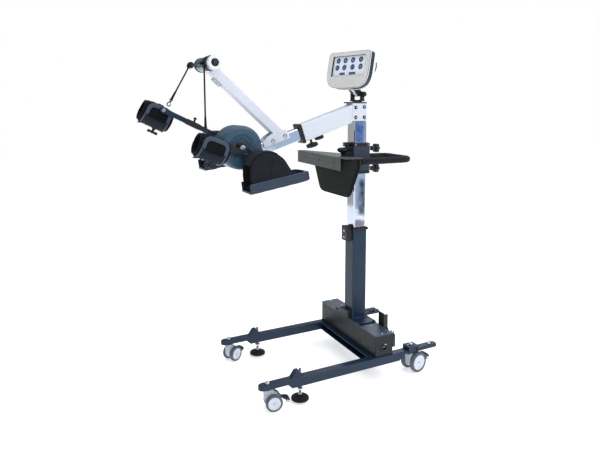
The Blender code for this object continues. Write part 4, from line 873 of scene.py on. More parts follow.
# ------------------------------------------------------------------ boom details
parts = [(box((-0.0556, -0.0095), (-0.0202, 0.0202), (-0.0304, -0.0206), BOOM, bevel=0.0016), PLATE),
         (cap_bolt("Z", (-0.0330, 0.0), -0.0304, -1, 0.0045, 0.0025, BOOM), BOLT)]
for x, z in ((0.4402, 0.0180), (0.3763, 0.0200)):
    for s in (-1, 1):
        parts.append((lathe("Y", (x, z), [(0.0086, s * 0.0254), (0.0086, s * 0.0264), (0.0062, s * 0.0266), (0.0062, s * 0.0284), (0.0054, s * 0.0294), (0.0034, s * 0.0296), (0.0030, s * 0.0280), (0, s * 0.0278)], ARM, steps=28), BOLT))
        parts.append((lathe("Y", (x, z), [(0.0104, s * 0.0253), (0.0104, s * 0.0258), (0.0084, s * 0.0260)], ARM, steps=28), BLACK_METAL))
for s in (-1, 1):
    parts.append((bead([(0.356, s * 0.0240, 0.0300), (0.402, s * 0.0246, 0.0300), (0.488, s * 0.0240, 0.0300)], 0.0014, ARM), WHITE))
add("boom_details", "arm_inner", parts, slot="white_paint")
# end plug of the inner arm, drum clamp
parts = [(box((0.4995, 0.5345), (-0.0240, 0.0240), (-0.0335, 0.0335), ARM, bevel=0.0040), DRUM_BLUE)]

# ------------------------------------------------------------------ hub
HC = (HUB[0], HUB[2])
body_profile = [(0, 0.1150), (0.0200, 0.1150), (0.0250, 0.1142), (0.0285, 0.1120), (0.0305, 0.1085), (0.0310, 0.1050), (0.0310, -0.0290), (0.0306, -0.0300),
                (0.0300, -0.0304), (0.0300, -0.0320), (0.0306, -0.0324), (0.0306, -0.0340), (0.0262, -0.0362), (0.0260, -0.0380), (0.0260, -0.0620), (0.0262, -0.0638),
                (0.0306, -0.0660), (0.0306, -0.0690), (0.0310, -0.0702), (0.0310, -0.0900), (0.0300, -0.0905), (0.0290, -0.0905), (0, -0.0905)]
hub_parts = [(lathe("Y", HC, body_profile, steps=88), CHROME_BLUE)]
hub_parts.append((lathe("Y", HC, [(0.0312, -0.0300), (0.0313, -0.0310), (0.0313, -0.0350), (0.0268, -0.0364), (0.0264, -0.0380), (0.0264, -0.0620), (0.0268, -0.0636), (0.0313, -0.0650),
                                  (0.0313, -0.0690), (0.0312, -0.0700), (0.0250, -0.0700), (0.0250, -0.0300), (0.0312, -0.0300)], steps=88), GLOSS))
hub_parts.append((lathe("Y", HC, [(0.0304, -0.0895), (0.0314, -0.0902), (0.0316, -0.0915), (0.0316, -0.0980), (0.0310, -0.1010), (0.0296, -0.1036), (0.0272, -0.1049), (0.0240, -0.1052), (0.0200, -0.1048), (0.0178, -0.1040),
                                  (0.0168, -0.1020), (0.0166, -0.0985), (0.0166, -0.0900), (0.0304, -0.0895)], steps=88), WHITE_PLASTIC))
lobes = [((0.0150 * (0.90 + 0.10 * math.cos(6 * a))) * math.cos(a) + HC[0], (0.0150 * (0.90 + 0.10 * math.cos(6 * a))) * math.sin(a) + HC[1]) for a in [2 * math.pi * q / 96 for q in range(96)]]
hub_parts.append((flat("XZ", lobes, (-0.1030, -0.0930), bevel=0.0016), BLACK))
hub_parts.append((lathe("Y", HC, [(0.0166, -0.0950), (0.0060, -0.0952), (0, -0.0952)], steps=48), BLACK_METAL))
hub_parts.append((lathe("Y", HC, [(0.0062, -0.1028), (0.0060, -0.1040), (0.0048, -0.1044), (0, -0.1044)], steps=32), DRUM_DARK))
for a in (38, 128, 218, 308):
    p = (HC[0] + 0.0316 * math.cos(math.radians(a)), 0, HC[1] + 0.0316 * math.sin(math.radians(a)))
    d = (math.cos(math.radians(a)), 0, math.sin(math.radians(a)))
    fr = axes((p[0] - d[0] * 0.0006, -0.0955, p[2] - d[2] * 0.0006), (0, 1, 0), d)
    hub_parts.append((lathe("Z", (0, 0), [(0.0030, 0), (0.0030, 0.0012), (0.0022, 0.0020), (0.0014, 0.0020), (0.0012, 0.0010), (0, 0.0010)], fr, steps=20), BLACK_METAL))
for y0, y1 in ((-0.020, -0.012), (0.090, 0.098)):
    hub_parts.append((flat("XZ", stadium((HUB[0] - 0.01, HUB[2]), (-0.801, HUB[2]), 0.0080, 0.0070), (y0, y1), bevel=0.0010, segments=2), BLACK_METAL))
    hub_parts.append((lathe("Y", HC, [(0.0312, y0 - 0.001), (0.0326, y0), (0.0326, y1), (0.0312, y1 + 0.001)], steps=88), BLACK_METAL))
BC = (-0.801, HUB[2])
hub_parts.append((rod("Y", BC, (-0.0225, 0.1300), 0.0045, segments=28, bevel=0.0008), BLACK_METAL))
hub_parts.append((lathe("Y", BC, [(0, 0.1286), (0.0095, 0.1288), (0.0115, 0.1300), (0.0115, 0.1320), (0.0100, 0.1345), (0.0100, 0.1455), (0.0115, 0.1480), (0.0115, 0.1530), (0.0100, 0.1550), (0, 0.1550)], steps=40), BLACK))
hub_parts.append((lathe("Y", BC, [(0.0080, 0.1548), (0.0112, 0.1560), (0.0121, 0.1590), (0.0121, 0.1670), (0.0108, 0.1710), (0.0075, 0.1738), (0, 0.1740)], steps=40), BLACK))
for a in range(10):
    an = math.radians(36 * a)
    hub_parts.append((rod("Y", (BC[0] + 0.0121 * math.cos(an), BC[1] + 0.0121 * math.sin(an)), (0.1590, 0.1670), 0.0009, segments=8), BLACK))
add("rope_hub", "arm_inner", hub_parts, ("hub",), "chrome")

# ------------------------------------------------------------------ drum
DC = (DRUM[0], DRUM[2])
side_profile = [(0.0145, 0.0505), (0.0335, 0.0505), (0.0350, 0.0512), (0.0365, 0.0530), (0.0520, 0.0560), (0.0560, 0.0566), (0.0580, 0.0576), (0.0595, 0.0592), (0.0620, 0.0598), (0.0780, 0.0600), (0.0840, 0.0598)]
rim = [(0.0840 + 0.0140 * math.sin(a), 0.0458 + 0.0140 * math.cos(a)) for a in [math.radians(9 * q) for q in range(1, 11)]]
half_profile = side_profile + rim + [(0.0980, 0.0060), (0.0974, 0.0052), (0.0974, 0.0040), (0.0980, 0.0032)]
full = half_profile + [(0.0980, 0.0)] + [(r, -h) for r, h in reversed(half_profile)]
parts = parts + [(lathe("Y", DC, full, steps=112), DRUM_BLUE)]
for s in (-1, 1):
    parts.append((lathe("Y", DC, [(0.0142, s * 0.0500), (0.0142, s * 0.0545), (0.0160, s * 0.0560), (0.0250, s * 0.0560), (0.0275, s * 0.0550), (0.0285, s * 0.0504)], steps=64), DRUM_DARK))
    for q in range(5):
        a = math.radians(72 * q + 20)
        parts.append((cap_bolt("Y", (DC[0] + 0.0455 * math.cos(a), DC[1] + 0.0455 * math.sin(a)), s * 0.0540, s, 0.0034, 0.0018), BLACK_METAL))
for q in range(2):
    s = 0.506 + 0.012 * q
    for side in (-1, 1):
        parts.append((cap_bolt("Y", (s, 0.018), side * 0.0239, side, 0.0036, 0.0022, ARM), BOLT))
add("motor_drum", "arm_inner", parts, ("drum_housing",), "drum_plastic")

# ------------------------------------------------------------------ crank
parts = [(rod("Y", DC, (-0.0700, 0.0700), 0.0119, segments=36), STEEL)]
for name, side in (("near", -1), ("far", 1)):
    y0, y1 = sorted((side * 0.0635, side * 0.0725))
    parts.append((flat("XZ", stadium(DC, PIN[name], 0.0165, 0.0130), (y0, y1), bevel=0.0020), BLACK_METAL))
    parts.append((lathe("Y", DC, [(0.0128, side * 0.0724), (0.0128, side * 0.0730), (0.0094, side * 0.0732), (0.0094, side * 0.0740), (0.0086, side * 0.0746), (0.0050, side * 0.0746), (0.0044, side * 0.0736), (0, side * 0.0734)], steps=36), BOLT))
    parts.append((rod("Y", PIN[name], tuple(sorted((side * 0.068, side * 0.0875))), 0.0068, segments=28), STEEL))
    parts.append((lathe("Y", PIN[name], [(0.0110, side * 0.0872), (0.0110, side * 0.0884), (0.0094, side * 0.0890), (0.0094, side * 0.0900), (0.0084, side * 0.0906), (0.0048, side * 0.0906), (0.0042, side * 0.0892), (0, side * 0.0890)], steps=32), BOLT))
add("crank_arms", "crank", parts, ("crankset",), "black_metal")

# ------------------------------------------------------------------ boots, one shape used twice
a = math.radians(9.3)
upper = [(0.008, 0.0095), (0.215, 0.0095), (0.213, 0.043), (0.204, 0.066), (0.183, 0.113), (0.1585, 0.141), (0.132, 0.158), (0.095, 0.168),
         (0.068, 0.163), (0.040, 0.148), (0.018, 0.116), (0.010, 0.060)]
hollow = [(-0.02, 0.0170), (0.205, 0.0170), (0.204, 0.040), (0.196, 0.062), (0.176, 0.108), (0.154, 0.133), (0.129, 0.149), (0.095, 0.160),
          (0.070, 0.155), (0.045, 0.141), (0.026, 0.118), (-0.02, 0.112)]
boot_mesh = shaped(flat("XZ", [(x, z) for x, z in bend(upper, 0.012, 5, cyclic=True)], (-0.0488, 0.0488), bevel=0.0095, segments=4),
                   ("-", flat("XZ", bend(hollow, 0.008, 3, cyclic=True), (-0.0420, 0.0420))))
boot_mesh = puff(boot_mesh, 0.0042, 3.5, 0.0020)
on_boot = surface(boot_mesh)


def boot_parts():
    """The sewn boot in its own frame: panel, binding along its curved edges, seams, strap, and a dark binding line at
    the heel opening, partly painted shade of that opening, which is not cut.
    """
    out = [(boot_mesh.copy(), CLOTH)]
    edge = [(0.0100, 0.050), (0.0170, 0.114), (0.0390, 0.1450), (0.0680, 0.1600), (0.0950, 0.1650), (0.1310, 0.1555), (0.1570, 0.1390), (0.1810, 0.1115), (0.2015, 0.0655), (0.2105, 0.0430), (0.2125, 0.0200)]
    edge = bend([(x, 0, z) for x, z in edge], 0.014, 5)
    centre = Vector((0.105, 0, 0.055))
    for s in (-1, 1):
        run = [(x, s * 0.0470, z) for x, _, z in edge]
        out.append((tape(run, on_boot, 0.0030, lift=0.0002), BINDING))
        for gap in (0.0085, 0.0120):
            inner_run = []
            for x, y, z in run:
                d = (Vector((x, 0, z)) - centre)
                q = centre + d * (1 - gap / d.length)
                inner_run.append((q.x, s * 0.0500, q.z))
            out.append((stitches(inner_run, on_boot, lift=0.0004), THREAD))
        # short slot for the strap, low at the heel, drawn only as a dark binding bead: partly binding, partly painted
        # shade of the slot
        out.append((tape([(0.036, s * 0.050, 0.055), (0.064, s * 0.050, 0.0565)], on_boot, 0.0030, lift=0.0002), BINDING))
        strap = [(0.112 + 0.0030 * q, s * 0.0500, 0.0450 + 0.0098 * q) for q in range(11)]
        strap = [on_boot(p, 0.0012) for p in strap]
        out.append((band(strap, (1, 0, -0.3), 0.0250, 0.0020), WEBBING))
        for dx in (-0.0105, 0.0105):
            out.append((stitches([(p[0] + dx, p[1], p[2] - dx * 0.3) for p in strap[1:-1]], on_boot, lift=0.0026), THREAD))
    top = [on_boot((0.1450, y * 0.001, 0.1560 - abs(y) * 0.00005), 0.0012) for y in range(-46, 47, 4)]
    out.append((band(top, (1, 0, -0.62), 0.0250, 0.0020), WEBBING))
    for bx in (-0.0105, 0.0105):
        out.append((stitches([(p[0] + bx, p[1], p[2] - bx * 0.62) for p in top[1:-1]], on_boot, lift=0.0026), THREAD))
    # heel opening: only a dark binding line, no opening cut; partly binding, partly painted shade of the opening
    heel = bend([(0.010, -0.040, 0.020), (0.010, -0.044, 0.060), (0.016, -0.044, 0.108), (0.022, -0.034, 0.118), (0.024, 0.0, 0.1200), (0.022, 0.034, 0.118), (0.016, 0.044, 0.108), (0.010, 0.044, 0.060), (0.010, 0.040, 0.020)], 0.010, 4)
    out.append((tape(heel, on_boot, 0.0030, lift=0.0), BINDING))
    # front opening: binding round the arch and the quilted insole that shows in it
    front = [(0.2130, s * 0.0445, z) for s, z in ((-1, 0.014), (-1, 0.043))] + [(0.2040, -0.0445, 0.066), (0.2035, 0.0445, 0.066)] + [(0.2130, s * 0.0445, z) for s, z in ((1, 0.043), (1, 0.014))]
    out.append((tape(bend(front, 0.008, 4), on_boot, 0.0026, lift=0.0), BINDING))
    return out


def sole_parts(side):
    """The foot shell in the boot's frame: tray with a raised toe lip, rubber pads, side plate."""
    plan = [(0.0, -0.050), *arc((0.010, -0.045), 0.010, 180, 270, 6)[1:], *arc((0.248, 0), 0.055, -90, 90, 36), *arc((0.010, 0.045), 0.010, 90, 180, 6)[:-1], (0.0, 0.050)]
    inside = [(-0.02, -0.0508), *arc((0.248, 0), 0.0508, -90, 90, 36), (-0.02, 0.0508)]
    side_cut = [(-0.02, -0.02), (-0.02, 0.0405), (0.020, 0.0418), (0.150, 0.0420), (0.262, 0.0420), (0.280, 0.0385), (0.2935, 0.0310), (0.3010, 0.0220), (0.3045, 0.0100), (0.3045, -0.02)]
    tray = shaped(flat("XY", plan, (0.0, 0.060), bevel=0.0050, segments=4, rim=0.0), ("-", flat("XY", inside, (0.0085, 0.08))), ("*", flat("XZ", bend(side_cut, 0.006, 4, cyclic=True), (-0.08, 0.08))))
    out = [(tray, SOLE)]
    rimline = []
    for x, y in [(0.006, -0.0530), (0.060, -0.0530), (0.120, -0.0530), (0.180, -0.0530), (0.230, -0.0530), *arc((0.248, 0), 0.0530, -88, 88, 36), (0.230, 0.0530), (0.180, 0.0530), (0.120, 0.0530), (0.060, 0.0530), (0.006, 0.0530)]:
        z = 0.0408 if x < 0.262 else 0.0408 - 0.0115 * ((x - 0.262) / 0.040) ** 1.4
        rimline.append((x, y, z))
    out.append((pipe(rimline, 0.0022), SOLE_LIGHT))
    out.append((puff(shaped(flat("XY", [(0.150, -0.0490), *arc((0.2475, 0), 0.0490, -88, 88, 30), (0.150, 0.0490)], (0.0090, 0.0148), bevel=0.0022, segments=3)), 0.0040, 1.2, 0.0012), CLOTH))
    for row in range(-3, 4):
        y = row * 0.0125
        reach = 0.2475 + math.sqrt(max(0.0, 0.0440 ** 2 - y * y))
        out.append((stitches([(0.222, y, 0.0146), (reach - 0.008, y, 0.0146)], None, lift=0.0), THREAD))
    for x0 in (0.028, 0.088, 0.148, 0.208):
        out.append((flat("XY", rounded((x0, x0 + 0.036), (-0.040, 0.040), 0.006), (-0.0045, 0.0008), bevel=0.0012, segments=2), RUBBER))
    cheek = [(0.012, 0.005), (0.212, 0.005), (0.200, 0.064), (0.176, 0.108), (0.150, 0.134), (0.118, 0.151), (0.080, 0.156), (0.045, 0.141), (0.022, 0.100)]
    ys = tuple(sorted((-side * 0.0512, -side * 0.0546)))
    out.append((flat("XZ", bend(cheek, 0.014, 6, cyclic=True), ys, bevel=0.0012, segments=2), SOLE))
    for p in ((0.070, 0.110), (0.130, 0.110), (0.070, 0.055), (0.150, 0.055)):
        out.append((cap_bolt("Y", p, -side * 0.0548, -side, 0.0045, 0.0022), BOLT))
    return out


# ------------------------------------------------------------------ calf cuffs, one shape used twice
DROP = -0.030
PAD0, PAD1 = -0.0615, 0.0755
ring_line = [*arc((0, DROP), 0.0435, 0, 180, 28), *arc((0, DROP), 0.0500, 180, 360, 32)]
hole_line = arc((0, DROP), 0.0378, 0, 360, 56)[:-1]
pad_mesh = shaped(flat("YZ", ring_line, (PAD0 + 0.0014, PAD1 - 0.0014), bevel=0.0040, segments=3), ("-", flat("YZ", hole_line, (-0.12, 0.12))))
pad_mesh = puff(pad_mesh, 0.0036, 3.0, 0.0014)
on_pad = surface(pad_mesh)


def around(lo, hi, lift, n=24, u=0.0):
    """Points of the pad's outer line between two angles (0 is +Y, 90 is up)."""
    out = []
    for q in range(n + 1):
        an = lo + (hi - lo) * q / n
        up = math.sin(math.radians(an)) >= 0
        r = (0.0435 if up else 0.0500) + lift
        out.append((u, r * math.cos(math.radians(an)), DROP + r * math.sin(math.radians(an))))
    return out


def cuff_pad_parts():
    """The padded wrap: body, overlapping flap, bindings at both ends, strap."""
    out = [(pad_mesh.copy(), CLOTH_BLACK)]
    for u in (PAD0 + 0.0026, PAD1 - 0.0026):
        line = [(u, 0.0412 * math.cos(math.radians(an)), DROP + 0.0412 * math.sin(math.radians(an))) for an in range(0, 181, 9)]
        out.append((tape(line, None, 0.0036), BINDING))
        line = [(u, 0.0448 * math.cos(math.radians(an)), DROP + 0.0448 * math.sin(math.radians(an))) for an in range(180, 361, 9)]
        out.append((tape(line, None, 0.0040), BINDING))
    # flap: a second, humped layer over the top with a soft edge on the outer side
    bm = bmesh.new()
    rows = []
    for i in range(19):
        t = i / 18
        u = PAD0 + 0.009 + (PAD1 - PAD0 - 0.018) * t
        inset = 14 * abs(2 * t - 1) ** 4
        hump = 0.0060 * math.sin(math.pi * t) ** 0.8
        row = []
        for q in range(25):
            an = 4 + inset + (176 - 2 * inset - 4) * q / 24
            rise_ = hump * max(0.0, math.sin(math.radians(an))) ** 1.3
            fold = 0.0011 * math.sin(i * 1.3 + q * 0.22) * math.sin(q * 0.75 + 0.5 * math.sin(i * 0.8))
            d = Vector((0, math.cos(math.radians(an)), math.sin(math.radians(an))))
            row.append(bm.verts.new(Vector((u, 0, DROP)) + d * (0.0462 + rise_ + fold)))
        rows.append(row)
    for r0, r1 in zip(rows, rows[1:]):
        for q in range(24):
            bm.faces.new((r0[q], r0[q + 1], r1[q + 1], r1[q]))
    bmesh.ops.recalc_face_normals(bm, faces=bm.faces[:])
    bmesh.ops.solidify(bm, geom=bm.faces[:], thickness=0.0034)
    out.append((finish(bm), CLOTH_BLACK))
    flap = surface(out[-1][0])
    for side_an in (6, 172):
        line = []
        for i in range(19):
            t = i / 18
            u = PAD0 + 0.009 + (PAD1 - PAD0 - 0.018) * t
            an = side_an + (14 * abs(2 * t - 1) ** 4 if side_an < 90 else -14 * abs(2 * t - 1) ** 4)
            line.append((u, 0.0470 * math.cos(math.radians(an)), DROP + 0.0470 * math.sin(math.radians(an))))
        out.append((tape(line, None, 0.0021), BINDING))
    for u in (PAD0 + 0.0150, PAD1 - 0.0150):
        out.append((stitches([flap((u, 0.052 * math.cos(math.radians(an)), DROP + 0.052 * math.sin(math.radians(an))), 0.0004) for an in range(24, 157, 6)], None, lift=0.0), THREAD))
    # webbing strap over the top; the metal ring that the snap hook holds is not drawn
    strap = [flap((0.006, 0.062 * math.cos(math.radians(an)), DROP + 0.062 * math.sin(math.radians(an))), 0.0008) for an in range(12, 169, 6)]
    out.append((band(strap, (1, 0, 0), 0.0250, 0.0020), WEBBING))
    for du in (-0.0105, 0.0105):
        out.append((stitches([(p[0] + du, p[1], p[2]) for p in strap], None, lift=0.0), THREAD))
    return out


def cuff_shell_parts(out_sign):
    """The trough with rounded upper corners, raised rim, darker panel, pin, wing knob and strap tab."""
    u0, u1, top = -0.0495, 0.0635, 0.012
    trough = [(-0.0560, top), (-0.0515, top), *arc((0, DROP), 0.0515, 180, 360, 36), (0.0515, top), (0.0560, top), *arc((0, DROP), 0.0560, 0, -180, 36)]
    shell = shaped(flat("YZ", trough, (u0, u1)), ("*", flat("XZ", rounded((u0 + 0.0002, u1 - 0.0002), (-0.120, top - 0.0002), 0.030, 12), (-0.08, 0.08))))
    parts_ = [(shell, CLOTH_SHELL)]
    r = 0.0540
    loop = []
    for q in range(13):
        an = 270 + 90 * q / 12
        loop.append((u1 - 0.0030, r * math.cos(math.radians(an)), DROP + r * math.sin(math.radians(an))))
    loop += [(u1 - 0.0030, r, -0.021)]
    loop += [(u1 - 0.0310 + 0.028 * math.cos(math.radians(an)), r, -0.0190 + 0.028 * math.sin(math.radians(an))) for an in range(0, 91, 10)]
    loop += [(u0 + 0.0310 - 0.028 * math.sin(math.radians(an)), r, -0.0190 + 0.028 * math.cos(math.radians(an))) for an in range(0, 91, 10)]
    for q in range(1, 13):
        an = 360 - 90 * q / 12
        loop.append((u0 + 0.0030, r * math.cos(math.radians(an)), DROP + r * math.sin(math.radians(an))))
    mirrored = [(u, -v, w) for u, v, w in reversed(loop)][1:-1]
    parts_.append((pipe(loop + mirrored, 0.0042, cyclic=True, resolution=4), SOLE_LIGHT))
    for s in (-1, 1):
        arch = shaped(flat("XZ", rounded((u0 + 0.0010, u1 - 0.0010), (-0.080, top - 0.0010), 0.030, 12), tuple(sorted((s * 0.0548, s * 0.0584))), bevel=0.0014, segments=3),
                      ("-", flat("XZ", rounded((u0 + 0.0150, u1 - 0.0150), (-0.12, top - 0.0150), 0.018, 10), (-0.08, 0.08))),
                      ("-", box((-0.2, 0.2), (-0.08, 0.08), (-0.20, -0.0420))))
        parts_.append((arch, SOLE_LIGHT))
        parts_.append((flat("XZ", rounded((u0 + 0.0120, u1 - 0.0120), (-0.052, -0.001), 0.016), tuple(sorted((s * 0.0550, s * 0.0572))), bevel=0.0009, segments=3), CLOTH_BLACK))
        for k, u in enumerate((-0.026, -0.006, 0.018, 0.040)):
            parts_.append((tape([(u, s * 0.0568, -0.046), (u + 0.004 * math.sin(k * 2.1), s * 0.0573, -0.028), (u + 0.002, s * 0.0568, -0.008)], None, 0.0016), CLOTH_BLACK))
    o = out_sign

    def ys(a_, b_):
        return tuple(sorted((o * a_ - o * PAD_MID, o * b_ - o * PAD_MID)))
    parts_.append((rod("Y", (0, 0), ys(0.0738, 0.0935), 0.0049, segments=24), STEEL))
    parts_.append((lathe("Y", (0, 0), [(0.0100, o * (0.0874 - PAD_MID)), (0.0121, o * (0.0878 - PAD_MID)), (0.0124, o * (0.0890 - PAD_MID)), (0.0124, o * (0.0922 - PAD_MID)), (0.0108, o * (0.0937 - PAD_MID)), (0.0060, o * (0.0938 - PAD_MID)), (0.0052, o * (0.0930 - PAD_MID)), (0, o * (0.0930 - PAD_MID))], steps=44), SOLE_LIGHT))
    parts_.append((rod("Y", (0, 0), ys(0.0714, 0.0750), 0.0086, segments=6, bevel=0.0008), BOLT))
    # wing knob under the trough
    parts_.append((lathe("Z", (-0.010, 0), [(0, -0.0835), (0.0095, -0.0835), (0.0095, -0.0880), (0.0070, -0.0900), (0.0060, -0.0925), (0.0064, -0.0990), (0.0072, -0.1040), (0.0060, -0.1085), (0, -0.1100)], steps=32), BLACK))
    wing = bend([(-0.0345, -0.1080), (-0.0330, -0.0985), (-0.0250, -0.0965), (-0.0160, -0.1000), (-0.0040, -0.1000), (0.0050, -0.0965), (0.0130, -0.0985), (0.0145, -0.1080), (0.0080, -0.1105), (-0.0010, -0.1080), (-0.0190, -0.1080), (-0.0280, -0.1105)], 0.006, 4, cyclic=True)
    parts_.append((flat("XZ", wing, (-0.0042, 0.0042), bevel=0.0018, segments=3), BLACK))
    # strap tab low at the front end, with its keeper
    tab = axes((0.046, 0.0, -0.0830), (0.94, 0, -0.34), (0.34, 0, 0.94))
    parts_.append((flat("XY", rounded((-0.010, 0.0215), (-0.0180, 0.0180), 0.004), (-0.0016, 0.0016), tab, bevel=0.0008, segments=2), SOLE_DARK))
    parts_.append((pipe([(0.006, -0.0200, 0.0), (0.006, -0.0200, 0.0042), (0.006, 0.0200, 0.0042), (0.006, 0.0200, 0.0)], 0.0014, m=tab, resolution=3), BLACK_METAL))
    for du in (-0.040, 0.028):
        parts_.append((cap_bolt("Z", (du, 0), -0.0856, -1, 0.0048, 0.0020), BOLT))
    return parts_


for name, spec in LEG.items():
    side, length = spec["side"], spec["length"]
    x0, z0 = PIN[name]
    leg = sloped((x0, 0, z0), spec["tilt"])
    out = -side
    sole = axes((x0 + spec["heel"][0], side * PAD_MID, z0 + spec["heel"][1]), (math.cos(a), 0, math.sin(a)), (-math.sin(a), 0, math.cos(a)))

    def ys(p, q):
        return tuple(sorted((out * p, out * q)))

    boot = add(f"padded_boot_{name}", f"leg_{name}", [(moved(mesh, sole), mat) for mesh, mat in boot_parts()], (f"boot_{name}",), "black_cloth", weighted=False, sharp=70)
    add(f"foot_tray_{name}", f"leg_{name}", [(moved(mesh, sole), mat) for mesh, mat in sole_parts(side)], (f"foot_shell_{name}",), "sole_plastic")
    parts = [(flat("XZ", stadium((0, 0), (length, 0), 0.0110, 0.0110), ys(0.0757, 0.0863), leg, bevel=0.0018), PAINT),
             (flat("XZ", stadium((spec["stud"] - 0.029, 0), (spec["stud"] + 0.029, 0), 0.0128, 0.0128), ys(0.0750, 0.0870), leg, bevel=0.0016), BLACK_METAL),
             (lathe("Y", (0, 0), [(0.0076, out * 0.0755), (0.0168, out * 0.0757), (0.0172, out * 0.0770), (0.0172, out * 0.0855), (0.0164, out * 0.0864), (0.0076, out * 0.0866), (0.0076, out * 0.0755)], leg, steps=44), PAINT),
             (lathe("Y", (length, 0), [(0.0056, out * 0.0757), (0.0138, out * 0.0758), (0.0142, out * 0.0770), (0.0142, out * 0.0855), (0.0134, out * 0.0863), (0.0056, out * 0.0864), (0.0056, out * 0.0757)], leg, steps=40), PAINT),
             (lathe("Z", (spec["stud"], out * 0.081), [(0.0072, 0.010), (0.0072, 0.0135), (0.0046, 0.0150), (0.0042, 0.0235), (0.0060, 0.0270), (0.0050, 0.0320), (0, 0.0330)], leg, steps=28), BLACK),
             (flat("YZ", bend([(out * 0.0765, 0.0245), (out * 0.081, 0.0225), (out * 0.0990, 0.0235), (out * 0.1010, 0.0280), (out * 0.0990, 0.0335), (out * 0.0860, 0.0320), (out * 0.0765, 0.0320)], 0.003, 4, cyclic=True), (spec["stud"] - 0.0040, spec["stud"] + 0.0040), leg, bevel=0.0018), BLACK),
             # pressed lines along the bar, raised a little; their lighter copy of the blue paint is a painted highlight
             (box((0.024, 0.070), tuple(sorted((out * 0.0861, out * 0.0868))), (-0.0030, 0.0030), leg, bevel=0.0003, segments=1), PAINT_HIGHLIGHT),
             (box((spec["stud"] + 0.040, length - 0.020), tuple(sorted((out * 0.0861, out * 0.0868))), (-0.0030, 0.0030), leg, bevel=0.0003, segments=1), PAINT_HIGHLIGHT)]
    add(f"leg_link_{name}", f"leg_{name}", parts, (f"leg_bar_{name}",), "blue_paint")
    # calf wrap and trough at the bar's end
    here = leg @ Matrix.Translation((length, out * PAD_MID, 0))
    pad = add(f"calf_wrap_{name}", f"cuff_{name}", [(moved(mesh, here), mat) for mesh, mat in cuff_pad_parts()], (f"cuff_pad_{name}",), "black_cloth", weighted=False, sharp=70)
    add(f"calf_trough_{name}", f"cuff_{name}", [(moved(mesh, here), mat) for mesh, mat in cuff_shell_parts(out)], (f"cuff_shell_{name}",), "sole_plastic")

# ------------------------------------------------------------------ collar, shelf, guard, handle
hole = lambda: ("-", box((-0.0355, 0.0355), (-0.0355, 0.0355), (0.90, 1.20)))
parts = [(shaped(box((-0.0450, 0.0450), (-0.0450, 0.0450), (0.980, 1.120), bevel=0.0045, along="Z", segments=4), hole()), COLLAR_BLUE),
         (shaped(box((-0.0480, 0.0480), (-0.0480, 0.0480), (1.1095, 1.1250), bevel=0.0030, segments=4), hole()), BLACK),
         (shaped(box((-0.0480, 0.0480), (-0.0480, 0.0480), (0.9720, 0.9872), bevel=0.0030, segments=4), hole()), BLACK),
         (shaped(box((0.0400, 0.0600), (-0.0300, 0.0300), (0.9852, 1.1080), bevel=0.0030), ("-", rod("X", (-0.020, 1.096), (0.02, 0.08), 0.0046)), ("-", rod("X", (-0.020, 0.994), (0.02, 0.08), 0.0046)),
                 ("-", box((-0.0355, 0.0355), (-0.0355, 0.0355), (0.90, 1.20)))), COLLAR_BLUE),
         (shaped(box((-0.0750, -0.0370), (-0.0150, 0.0150), (1.1080, 1.1280), bevel=0.0035), hole()), BLACK),
         (cap_bolt("X", (0.0, 1.1180), -0.0748, -1, 0.0050, 0.0036), BOLT),
         (shaped(box((-0.0400, 0.0400), (-0.0400, 0.0400), (1.1245, 1.1268), bevel=0.0008, segments=2), hole()), RUBBER)]
for x in (-0.036, 0.036):
    for z in (1.1172,):
        parts.append((cap_bolt("Y", (x, z), -0.0479, -1, 0.0032, 0.0016), BOLT))
for y in (0.014, -0.014 + 0.0):
    parts.append((cap_bolt("X", (y, 1.045), 0.0599, 1, 0.0048, 0.0034), BOLT))
add("collar_sleeve", "collar", parts, ("collar",), "black_metal")

# shelf: rolled edges and its fixing screws on the kept sheet
plan = [(-0.140, -0.130), (-0.0495, -0.130), (-0.0495, 0.0495), (0.030, 0.0495), (-0.085, 0.430), (-0.118, 0.430)]
parts = []
for p in ((-0.0620, -0.036), (-0.0620, 0.036)):
    parts.append((cap_bolt("Z", p, 1.0599, 1, 0.0052, 0.0030), BLACK_METAL))
for y in (0.0, 0.16, 0.32):
    x = -0.140 + 0.022 * (y + 0.130) / 0.560
    parts.append((cap_bolt("X", (y, 1.030), x + 0.0006, -1, 0.0042, 0.0018), BLACK_METAL))
edge = spaced([(x, min(y, 0.4275), 1.0583) for x, y in plan[3:]] + [(plan[0][0], plan[0][1], 1.0583), (plan[1][0], plan[1][1], 1.0583)], 0.02)
parts.append((pipe(edge, 0.0020, resolution=3), SHELF))
add("shelf_details", "collar", parts, slot="shelf_paint")

guard = [(-0.205, 1.048), (-0.190, 1.0535), (0.220, 1.0535), (0.235, 1.048), (0.240, 1.030), (0.172, 0.892), (0.156, 0.877), (0.130, 0.872),
         (-0.092, 0.872), (-0.118, 0.877), (-0.134, 0.892), (-0.210, 1.030)]
guard_line = bend(guard, 0.020, 6, cyclic=True)
gc = Vector((0.015, 0.965))
slim_line = [tuple(gc + (Vector(p) - gc) * 0.992) for p in guard_line]
guard_mesh = puff(flat("YZ", slim_line, (-0.1208, -0.1102), bevel=0.0030, segments=3), 0.0040, 1.6, 0.0026)
on_guard = surface(guard_mesh)
rim_line = [(-0.1155, p[0], p[1]) for p in [tuple(gc + (Vector(q) - gc) * 0.988) for q in guard_line]]
parts = [(guard_mesh, GUARD), (tape(rim_line, None, 0.0044, cyclic=True, step=0.008), BINDING)]
for x in (-0.1260, -0.1050):
    parts.append((stitches([(x, *tuple(gc + (Vector(q) - gc) * 0.935)) for q in guard_line + guard_line[:1]], on_guard, pitch=0.0055, size=0.0034, lift=0.0003), THREAD))
guard_obj = add("knee_guard", "collar", parts, ("guard_pad",), "guard_foam", weighted=False, sharp=70)

